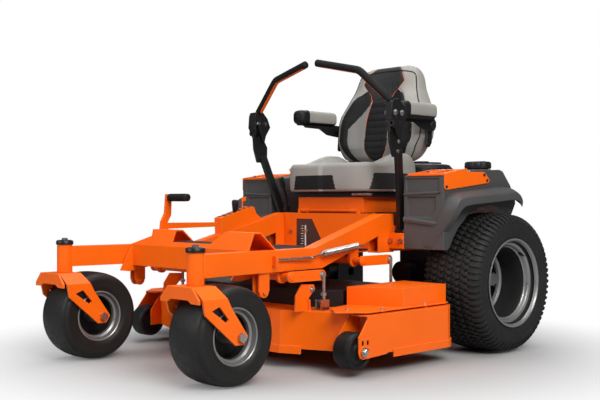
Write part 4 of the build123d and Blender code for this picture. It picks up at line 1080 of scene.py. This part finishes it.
def add_back():
    bm = bmesh.new()
    back_mesh(bm)
    piece = finish_piece("backrest", bm, "seat", "seat_vinyl", ["seat_back"],
                         finishes=["seat_vinyl", "seat_black", "seat_charcoal", "seat_grey"], sharp=0)
    bm = bmesh.new()
    dark = bmesh.new()
    for hand in (-1, 1):
        places = [(hand * between(t, CENTRE_EDGE), t) for t in [k / 120 for k in range(4, 117)]]
        tube(bm, back_line(places, -1.2), 2.3, steps=8)
        places = [(hand * between(t, BAND_OUTER), t) for t in [k / 120 for k in range(2, 80)]]
        places.append((hand * 0.40, 0.77))
        tube(dark, back_line(places, -1.0), 1.6, steps=8)
        places = [(hand * 0.955, t) for t in [k / 120 for k in range(5, 106)]]
        tube(dark, back_line(places, 0.4), 2.6, steps=8)
    places = [(0.955 * (1 - 2 * k / 60), 0.885 + 0.065 * math.sin(math.pi * k / 60) ** 0.35)
              for k in range(61)]
    tube(dark, back_line(places, 0.4), 2.6, steps=8)
    across = [(-0.245 + 0.49 * k / 20, CHANNEL_TOP) for k in range(21)]
    tube(dark, back_line(across, -1.5), 1.5, steps=8)
    finish_piece("back_piping", bm, "seat", "seat_vinyl", finishes=["piping_orange"], sharp=0)
    finish_piece("back_seams", dark, "seat", "arm_vinyl", finishes=["seat_black"], sharp=0)
    bm = bmesh.new()
    plate(bm, [(-150, 800), (150, 800), (175, 900), (170, 1010), (120, 1100), (-120, 1100), (-170, 1010),
               (-175, 900)], "y",
          1362, 1371)
    finish_piece("back_shell", bm, "seat", "black_plastic", bevel=4)
    bm = bmesh.new()
    plate(bm, rectangle(-110, 110, 640, 800), "y", 1296, 1304)
    for x in (-80, 80):
        bolt(bm, (x, 1304, 690), (0, 1, 0), 7)
    finish_piece("back_bracket", bm, "seat", "black_metal", bevel=1.5)


CUSHION_MIDDLE_Y = 1071
CUSHION_HALF = (248, 196)


def even_ring(half, power, count):
    """A rounded rectangle about nought, as points at even steps."""
    dense = []
    for k in range(4001):
        c, s = math.cos(math.pi * k / 2000), math.sin(math.pi * k / 2000)
        dense.append(Vector((half[0] * math.copysign(abs(c) ** power, c),
                             half[1] * math.copysign(abs(s) ** power, s))))
    reach = [0.0]
    for a, b in zip(dense, dense[1:]):
        reach.append(reach[-1] + (b - a).length)
    ring, k = [], 0
    for step in range(count):
        while reach[k + 1] < reach[-1] * step / count:
            k += 1
        ring.append(dense[k])
    return ring


CUSHION_STEPS = 360
CUSHION_RING = even_ring(CUSHION_HALF, 0.435, CUSHION_STEPS)


def cushion_outline(step, scale):
    point = CUSHION_RING[step % CUSHION_STEPS]
    return point.x * scale, CUSHION_MIDDLE_Y + point.y * scale


def cushion_height(x, y):
    """The top of the cushion: a front roll, a dished middle and raised sides towards the back."""
    side = abs(x)
    z = 752 + 8 * bell(y, 930, 42)
    z += 52 * bell(side, 196, 62) * eased(y, 940, 1140)
    z -= 46 * bell(side, 240, 70) * eased(y, 1178, 1262)
    z -= 10 * bell(side, 0, 130) * eased(y, 940, 1020)
    for seam in (1000, 1070, 1140, 1205):
        if side < 158:
            z -= 4.2 * bell(y, seam, 4.0) * (1 - (side / 158) ** 8)
    z -= 4.0 * bell(cushion_insert_edge(x, y), 0, 5)
    return z


def cushion_insert_edge(x, y):
    """Signed distance, roughly, from the rounded edge of the top insert."""
    inside_x = abs(x) - 170
    inside_y = abs(y - 1085) - 145
    return max(inside_x, inside_y)


def cushion_finish(point):
    x, y, z = point
    slope = (z - 640) * 0.25
    if 648 < z < 708 and y < 960 and -172 + slope < x < 84 - slope:
        return 1
    if 648 < z < 714 and abs(x) > 222 and 920 + slope < y < 1180 - slope:
        return 2
    if z > 735 and cushion_insert_edge(x, y) < 0:
        return 3
    return 0


def cushion_mesh(bm):
    steps = CUSHION_STEPS
    wall = [(0.955, 640), (0.975, 643), (0.985, 648)]
    wall += [(0.990 + 0.01 * math.sin(math.pi * k / 24), 648 + 90 * k / 24) for k in range(1, 24)]
    rows = []
    for scale, z in wall:
        rows.append([(*cushion_outline(k, scale), z) for k in range(steps)])
    for k in range(1, 13):
        angle = math.pi / 2 * k / 12
        scale = 0.99 - 0.075 * (1 - math.cos(angle))
        row = []
        for step in range(steps):
            x, y = cushion_outline(step, scale)
            row.append((x, y, 738 + (cushion_height(x, y) - 738) * math.sin(angle)))
        rows.append(row)
    for k in range(1, 46):
        scale = 0.915 * (1 - k / 46)
        row = []
        for step in range(steps):
            x, y = cushion_outline(step, scale)
            row.append((x, y, cushion_height(x, y)))
        rows.append(row)
    loft(bm, rows)
    for face in bm.faces:
        face.material_index = cushion_finish(face.calc_center_median())


def cushion_seam_point(step):
    x, y = cushion_outline(step, 0.985)
    return Vector((x, y, 739 + 0.42 * (cushion_height(x, y) - 760)))


def add_cushion():
    bm = bmesh.new()
    cushion_mesh(bm)
    piece = finish_piece("cushion", bm, "seat", "seat_vinyl", ["seat_cushion"],
                         finishes=["seat_vinyl", "seat_black", "seat_charcoal", "seat_vinyl"], sharp=0)
    seams = bmesh.new()
    points = [cushion_seam_point(k) for k in range(CUSHION_STEPS + 1)]
    tube(seams, points, 1.7, steps=8, caps=False)
    base = [(*cushion_outline(k, 0.985), 646) for k in range(CUSHION_STEPS + 1)]
    tube(seams, base, 3.2, steps=8, caps=False)
    finish_piece("cushion_seams", seams, "seat", "arm_vinyl", finishes=["seat_black"], sharp=0)
    piping = bmesh.new()
    loop = []
    insert = even_ring((170, 145), 0.4, 200)
    for point in insert + insert[:1]:
        x, y = point.x, 1085 + point.y
        loop.append((x, y, cushion_height(x, y) + 1.0))
    tube(piping, loop, 2.4, steps=8, caps=False)
    finish_piece("cushion_piping", piping, "seat", "seat_vinyl", finishes=["piping_orange"], sharp=0)


def arm_section(y, shrink):
    """A rounded box section of the armrest pad, crowned on top."""
    ring = []
    for c, s in circle(32):
        x = 290 + 34 * shrink * math.copysign(abs(c) ** 0.5, c)
        z = 978 + 30 * shrink * math.copysign(abs(s) ** 0.55, s)
        ring.append((x, y, z + (3.5 * (1 - ((x - 290) / 34) ** 2) if s > 0 else 0)))
    return ring


def add_armrests():
    for side, mirror in SIDES:
        bm = bmesh.new()
        rows = []
        for k in range(41):
            share = k / 40
            y = 1019 + 242 * share
            near = min(share, 1 - share) * 242
            shrink = 1 - 0.42 * (1 - min(1.0, near / 24)) ** 2.2
            if abs(y - 1068) < 3:
                shrink *= 0.985
            rows.append(arm_section(y, shrink))
        loft(bm, rows)
        for face in bm.faces:
            middle = face.calc_center_median()
            face.material_index = 1 if middle.y < 1066 or middle.z < 956 else 0
        pad = finish_piece(f"arm_pad_{side}", bm, f"arm_{side}", "arm_vinyl", [f"armrest_{side}"], mirror,
                           finishes=["seat_vinyl", "arm_vinyl"], sharp=0)
        bm = bmesh.new()
        rim = [(x, 1069, z) for x, _, z in arm_section(1069, 1.0)]
        tube(bm, rim + rim[:1], 1.8, steps=8, caps=False)
        finish_piece(f"arm_seam_{side}", bm, f"arm_{side}", "arm_vinyl", mirror=mirror,
                     finishes=["seat_black"], sharp=0)
        bm = bmesh.new()
        plate(bm, [(1040, 946), (1060, 932), (1150, 930), (1200, 905), (1270, 897), (1290, 903), (1300, 918),
                   (1300, 938),
                   (1290, 950), (1240, 952), (1060, 952)], "x", 272, 278)
        plate(bm, rectangle(272, 314, 1044, 1240), "z", 944, 951)
        for y, z in ((1283, 935), (1281, 914)):
            bolt(bm, (278, y, z), (1, 0, 0), 4.5)
        lathe(bm, [(255, 13), (278, 13), (281, 10), (281, 0.5)], (0, 1278, 925), steps=32)
        finish_piece(f"arm_bracket_{side}", bm, f"arm_{side}", "black_metal", mirror=mirror, bevel=1.2)
        bm = bmesh.new()
        plate(bm, [(1256, 838), (1264, 830), (1278, 832), (1292, 850), (1294, 900), (1262, 900)], "x", 250,
              262)
        finish_piece(f"arm_stop_{side}", bm, "seat", "black_metal", mirror=mirror, bevel=3)


# ---- controls, springs, engine and small parts ----
BAR_POINTS = ((405, 872, 925), (386, 872, 990), (242, 844, 1123), (30, 818, 1170))
CLEVIS_OUTLINE = ((886, 1000), (918, 968), (934, 930), (908, 892), (896, 852), (876, 852), (858, 890),
                  (838, 926), (842, 978),
                  (850, 994))


def rounded_path(points, radius, steps=10):
    """Straight runs joined by tangent arcs."""
    points = [Vector(p) for p in points]
    path = [points[0]]
    for before, here, after in zip(points, points[1:], points[2:]):
        back, ahead = (before - here).normalized(), (after - here).normalized()
        half = back.angle(ahead) / 2
        reach = min(radius / math.tan(half), 0.48 * min((before - here).length, (after - here).length))
        start, end = here + back * reach, here + ahead * reach
        for k in range(steps + 1):
            t = k / steps
            path.append(start * (1 - t) ** 2 + here * 2 * t * (1 - t) + end * t * t)
    path.append(points[-1])
    return path


def even(points, spacing):
    """The same path with points at even steps."""
    result = [points[0]]
    carry = 0.0
    for a, b in zip(points, points[1:]):
        length = (b - a).length
        place = spacing - carry
        while place <= length:
            result.append(a.lerp(b, place / length))
            place += spacing
        carry = length - (place - spacing)
    result.append(points[-1])
    return result


def grip_mesh(bm, path):
    """A foam sleeve: shallow flutes along it and rounded ends."""
    rows = []
    total = len(path) - 1
    for k, (point, (side, rise)) in enumerate(zip(path, frames_along(path))):
        near = min(k, total - k) * 4.0
        swell = 15.4 if near > 5 else 12.6 + 2.8 * math.sin(math.pi / 2 * near / 5)
        ring = []
        for step in range(60):
            angle = 2 * math.pi * step / 60
            flute = 0.55 * max(0.0, math.cos(12 * angle)) ** 2
            ring.append(point + (side * math.cos(angle) + rise * math.sin(angle)) * (swell - flute))
        rows.append(ring)
    loft(bm, rows)


def add_lap_bars():
    for side, mirror in SIDES:
        path = even(rounded_path(BAR_POINTS, 62), 4.0)
        sleeve = path[17:]
        bm = bmesh.new()
        tube(bm, path[:26], 12.2, steps=28)
        foot = path[0] - Vector((0, 0, 24))
        tube(bm, [foot, path[0], path[2]], [10, 12.5, 12.2], steps=28)
        plate(bm, CLEVIS_OUTLINE, "x", 410, 415)
        plate(bm, CLEVIS_OUTLINE[:5] + CLEVIS_OUTLINE[-2:], "x", 372, 377)
        plate(bm, rectangle(377, 410, 846, 852), "z", 915, 985)
        finish_piece(f"bar_tube_{side}", bm, f"lap_{side}", "black_metal", [f"lap_bar_{side}"], mirror,
                     bevel=1.5)
        bm = bmesh.new()
        grip_mesh(bm, sleeve)
        finish_piece(f"bar_grip_{side}", bm, f"lap_{side}", "black_plastic", mirror=mirror,
                     finishes=["foam_black"], sharp=0)
        bm = bmesh.new()
        strip = sleeve[4:-3]
        rows = []
        heart = Vector((90, 850, 830))
        for k, point in enumerate(strip):
            along = (strip[min(k + 1, len(strip) - 1)] - strip[max(k - 1, 0)]).normalized()
            inward = heart - point
            inward = (inward - along * inward.dot(along)).normalized()
            front = along.cross(inward)
            front = front if front.y < 0 else -front
            taper = math.sqrt(min(1.0, min(k, len(strip) - 1 - k) / 4 + 0.06))
            ring = []
            for angle in (-34, -22, -11, 0, 11, 22, 34):
                a = math.radians(angle) * taper
                ring.append(point + (inward * math.cos(a) + front * math.sin(a)) * 16.0)
            for angle in (34, 0, -34):
                a = math.radians(angle) * taper
                ring.append(point + (inward * math.cos(a) + front * math.sin(a)) * 13.5)
            rows.append(ring)
        loft(bm, rows)
        finish_piece(f"bar_inlay_{side}", bm, f"lap_{side}", "orange_paint", mirror=mirror,
                     finishes=["piping_orange"], sharp=50)
        bm = bmesh.new()
        for y in (861, 901):
            bolt(bm, (415, y, 945), (1, 0, 0), 9)
            lathe(bm, [(408, 9), (372, 9), (366, 8), (366, 0.5)], (0, y, 945), steps=24)
        finish_piece(f"clevis_bolts_{side}", bm, f"lap_{side}", "bare_steel", mirror=mirror)
        bm = bmesh.new()
        for y, z in ((897, 794), (903, 834)):
            bolt(bm, (397, y, z), (1, 0, 0), 6)
        bolt(bm, (342, 1000, 475), (1, 0, 0), 11)
        finish_piece(f"post_bolts_{side}", bm, f"control_{side}", "bare_steel", mirror=mirror)


def helix(start, end, radius, turns, per_turn=16):
    start, end = Vector(start), Vector(end)
    along = end - start
    direction = along.normalized()
    side = direction.orthogonal().normalized()
    rise = direction.cross(side)
    points = []
    count = int(turns * per_turn)
    for k in range(count + 1):
        angle = 2 * math.pi * k / per_turn
        points.append(start + along * k / count + (side * math.cos(angle) + rise * math.sin(angle)) * radius)
    return points


def add_springs():
    for side, mirror in SIDES:
        bm = bmesh.new()
        tube(bm, helix((372, 500, 408), (372, 690, 431), 10.6, 30), 2.6, steps=8)
        tube(bm, smooth_path([(372, 505, 418), (372, 492, 408), (373, 470, 404), (380, 440, 398)]), 3,
             steps=10)
        tube(bm, [(380, 440, 398), (384, 346, 397), (387, 252, 396)], 5, steps=16)
        for y in (432, 262):
            bolt(bm, (384, y, 397.2), (0, -1, 0), 4.6)
        tube(bm, smooth_path([(372, 686, 441), (372, 700, 432), (372, 722, 434.7)]), 3, steps=10)
        finish_piece(f"coil_spring_{side}", bm, "chassis", "bare_steel",
                     ["assist_springs"] if not mirror else (), mirror, sharp=40)


ENGINE_Y = 1550


def add_engine_cover():
    """A moulded cowl with a slatted intake, an oil filler and two cylinder covers."""
    centre = (0, ENGINE_Y, 0)
    bm = bmesh.new()
    lathe(bm, [(642, 168), (648, 177), (690, 178), (702, 170), (706, 156), (710, 148), (752, 144),
               (766, 132), (770, 116), (770, 96)],
          centre, axis="z", steps=120)
    lathe(bm, [(770, 96), (764, 94), (764, 0.5)], centre, axis="z", steps=96)
    lathe(bm, [(764, 40), (782, 38), (785, 34), (785, 0.5)], centre, axis="z", steps=64)
    for k in range(36):
        turn = 2 * math.pi * k / 36
        c, s = math.cos(turn), math.sin(turn)
        rows = []
        for reach in (42, 68, 94):
            lean = 0.05 * reach / 94
            middle = Vector((reach * math.cos(turn + lean), ENGINE_Y + reach * math.sin(turn + lean), 0))
            across = Vector((-s, c, 0)) * 1.6
            low, high = Vector((0, 0, 765)), Vector((0, 0, 779))
            rows.append([middle - across + low, middle + across + low,
                         middle + across * 0.6 + high, middle - across * 0.6 + high])
        loft(bm, rows)
    for k in range(24):
        turn = 2 * math.pi * (k + 0.5) / 24
        c, s = math.cos(turn), math.sin(turn)
        middle = Vector((146 * c, ENGINE_Y + 146 * s))
        out, across = Vector((c, s)) * 3.5, Vector((-s, c)) * 5
        outline = [middle + out + across, middle + out - across, middle - out - across, middle - out + across]
        plate(bm, outline, "z", 714, 750)
    plate(bm, rectangle(-176, 176, 1424, 1550), "z", 646, 692)
    finish_piece("engine_cowl", bm, "chassis", "black_plastic", ["engine_shroud"], sharp=35, bevel=2)
    bm = bmesh.new()
    for hand in (-1, 1):
        turn = Matrix.Rotation(math.radians(hand * 45), 3, "Z")
        for k in range(6):
            place = Vector((hand * 150, 1400, 552 + 9 * k))
            fin = []
            for x, y in ((-76, -66), (76, -66), (76, 66), (-76, 66)):
                corner = turn @ Vector((x, y, 0))
                fin.append((place.x + corner.x, place.y + corner.y))
            plate(bm, fin, "z", place.z, place.z + 3)
    finish_piece("cooling_fins", bm, "chassis", "cast_alloy", bevel=0.6)


def add_mat():
    """Raised grip bars on the floor mat."""
    low, high = box_mm("foot_mat")
    bm = bmesh.new()
    row = 0
    y = low.y + 30
    while y < high.y - 20:
        half = abs(low.x) - 26 - (y - low.y) * 0.1
        count = int(half * 2 / 46)
        for k in range(count):
            x = (k - (count - 1) / 2) * 46 + (11 if row % 2 else -11)
            if abs(x) > half - 20:
                continue
            outline = [(x - 15, y - 2.4), (x + 15, y - 2.4), (x + 17, y), (x + 15, y + 2.4),
                       (x - 15, y + 2.4), (x - 17, y)]
            plate(bm, outline, "z", high.z - 0.5, high.z + 2.2)
        y += 15
        row += 1
    finish_piece("mat_ribs", bm, "chassis", "mat_rubber", bevel=0.7)


def add_console():
    """The height quadrant's two-colour strip and the knob of its pin."""
    bm = bmesh.new()
    cells = 12
    a, b = Vector((0, 588, 531.8)), Vector((0, 748, 575.9))
    for k in range(cells):
        for lane in (0, 1):
            if (k + lane) % 2:
                continue
            p, q = a.lerp(b, k / cells), a.lerp(b, (k + 1) / cells)
            x0 = -336 + lane * 20
            lift = Vector((0, -0.25, 1.0))
            rows = []
            for rise in (0.0, 1.0):
                shift = lift * rise
                rows.append([Vector((x0, p.y, p.z)) + shift, Vector((x0 + 20, p.y, p.z)) + shift,
                             Vector((x0 + 20, q.y, q.z)) + shift, Vector((x0, q.y, q.z)) + shift])
            loft(bm, rows)
    finish_piece("height_scale", bm, "chassis", "black_plastic", finishes=["decal_dark"])
    bm = bmesh.new()
    lathe(bm, [(540, 7), (556, 7), (557, 9.5), (561, 11.5), (590, 14.5), (600, 14), (605, 10), (606, 0.5)],
          (-316, 675, 0),
          axis="z", steps=40)
    lathe(bm, [(505, 0.5), (505, 6.8), (541, 6.8)], (-316, 675, 0), axis="z", steps=24)
    finish_piece("height_knob", bm, "height_selector", "black_plastic", ["height_pin"])


def add_rollers():
    """Deck wheels and the pedal's foot roller, turned with rounded edges."""
    for side, mirror in SIDES:
        low, high = box_mm(f"anti_scalp_wheel_{side}")
        centre = (low + high) / 2
        half = (high.x - low.x) / 2
        radius = (high.z - low.z) / 2
        bm = bmesh.new()
        profile = [(half - 6, 10), (half - 2, 12), (half, 18), (half - 1, 26), (half - 7, 30), (half - 8, 44),
                   (half - 3, 48), (half, radius - 10), (half - 3, radius - 4), (half - 10, radius - 0.6),
                   (half - 20, radius)]
        lathe(bm, profile + flipped(profile), centre, steps=72)
        finish_piece(f"deck_wheel_{side}", bm, f"scalp_roller_{side}", "roller_rubber",
                     [f"anti_scalp_wheel_{side}"])
    low, high = box_mm("pedal_roller")
    centre = (low + high) / 2
    half, radius = (high.x - low.x) / 2, (high.z - low.z) / 2
    bm = bmesh.new()
    profile = [(-half, 8.6), (-half, radius * 0.8), (-half + 3, radius - 0.5)]
    ridges = 9
    for k in range(ridges):
        start = -half + 5 + (2 * half - 10) * k / ridges
        width = (2 * half - 10) / ridges
        profile += [(start + width * 0.12, radius), (start + width * 0.72, radius),
                    (start + width * 0.82, radius - 1.4),
                    (start + width * 0.98, radius - 1.4)]
    profile += [(half - 3, radius - 0.5), (half, radius * 0.8), (half, 8.6)]
    lathe(bm, profile, centre, steps=48)
    finish_piece("foot_grip", bm, "foot_roller", "black_plastic", ["pedal_roller"], finishes=["foam_black"],
                 sharp=30)


def add_fasteners():
    """Bolt heads, pivot discs and black caps where the machine is bolted together."""
    for side, mirror in SIDES:
        bm = bmesh.new()
        bolt(bm, (648, 417, 90), (1, 0, 0), 12)
        bolt(bm, (387, 428, 284), (1, 0, 0), 8)
        for x, y in ((520, 470), (605, 560), (606, 800)):
            bolt(bm, (x, y, 220), (0, 0, 1), 6.5)
        finish_piece(f"deck_bolts_{side}", bm, "deck", "bare_steel", mirror=mirror)
        for body, x, y, z in (("lift_front", 402, 313, 335), ("lift_rear", 359, 738, 371)):
            bm = bmesh.new()
            bolt(bm, (x, y + 153, z), (1, 0, 0), 10)
            finish_piece(f"{body}_bolt_{side}", bm, body, "bare_steel", mirror=mirror)
            bm = bmesh.new()
            lathe(bm, [(x - 1, 13), (x + 2.5, 13), (x + 3.5, 11), (x + 3.5, 0.5)], (0, y, z), steps=32)
            finish_piece(f"{body}_disc_{side}", bm, body, "orange_paint", mirror=mirror)
        bm = bmesh.new()
        lathe(bm, [(437, 32), (449, 32), (452, 30), (453.5, 26), (453.5, 0.5)], (393, -107, 0), axis="z",
              steps=48)
        bolt(bm, (393, -107, 453), (0, 0, 1), 10)
        finish_piece(f"kingpin_cap_{side}", bm, f"caster_{side}", "black_metal", mirror=mirror)


def add_decals():
    """The seat panel's plain dark decal with a height gauge, and no lettering."""
    bm = bmesh.new()
    plate(bm, [(-184, 396), (-10, 396), (-91, 524), (-184, 524)], "y", 914.2, 914.9)
    finish_piece("gauge_decal", bm, "chassis", "orange_paint", finishes=["decal_dark"])
    bm = bmesh.new()
    plate(bm, rectangle(-132, -126, 400, 496), "y", 912.6, 914.3)
    for k in range(9):
        length = 16 if k % 2 else 10
        z = 404 + 11 * k
        plate(bm, [(-142 - length, z), (-142, z), (-142, z + 2.2), (-142 - length, z + 2.2)], "y", 913.7,
              914.3)
    finish_piece("gauge_marks", bm, "chassis", "orange_paint", finishes=["decal_light"])
    bm = bmesh.new()
    tube(bm, [(-300, 700, 560), (-300, 704, 604)], 3, steps=10)
    plate(bm, [(698, 598), (722, 601), (722, 618), (698, 615)], "x", -302, -298)
    finish_piece("console_flag", bm, "chassis", "orange_paint", bevel=1)
    bm = bmesh.new()
    plate(bm, rectangle(-196, 196, 480, 552), "y", 990, 994)
    for x in (-170, 170):
        bolt(bm, (x, 990, 535), (0, -1, 0), 6)
    finish_piece("seat_riser", bm, "chassis", "orange_paint")
    bm = bmesh.new()
    tube(bm, [(150, 905, 628), (205, 905, 628), (262, 900, 626)], 5, steps=14)
    finish_piece("seat_handle", bm, "seat", "bare_steel")
    bm = bmesh.new()
    lathe(bm, [(-176, 0.5), (-176, 15), (-166, 15), (-163, 12), (-163, 0.5)], (0, 300, 614), steps=32)
    finish_piece("pedal_end_cap", bm, "lift_front", "black_plastic")
    bm = bmesh.new()
    plate(bm, rectangle(-83, 138, 172, 258), "z", 447.2, 448.8)
    for k in range(14):
        x = -75 + 15.5 * k
        plate(bm, [(x, 178), (x + 7, 178), (x + 7, 252), (x, 252)], "z", 448.8, 450)
    finish_piece("nose_grip_strip", bm, "chassis", "mat_rubber")


add_camera()
add_studio()
make_materials()
dress_cad()
add_floor()
add_wheels()
add_fenders()
add_back()
add_cushion()
add_armrests()
add_lap_bars()
add_springs()
add_engine_cover()
add_console()
add_rollers()
add_fasteners()
add_decals()
add_mat()
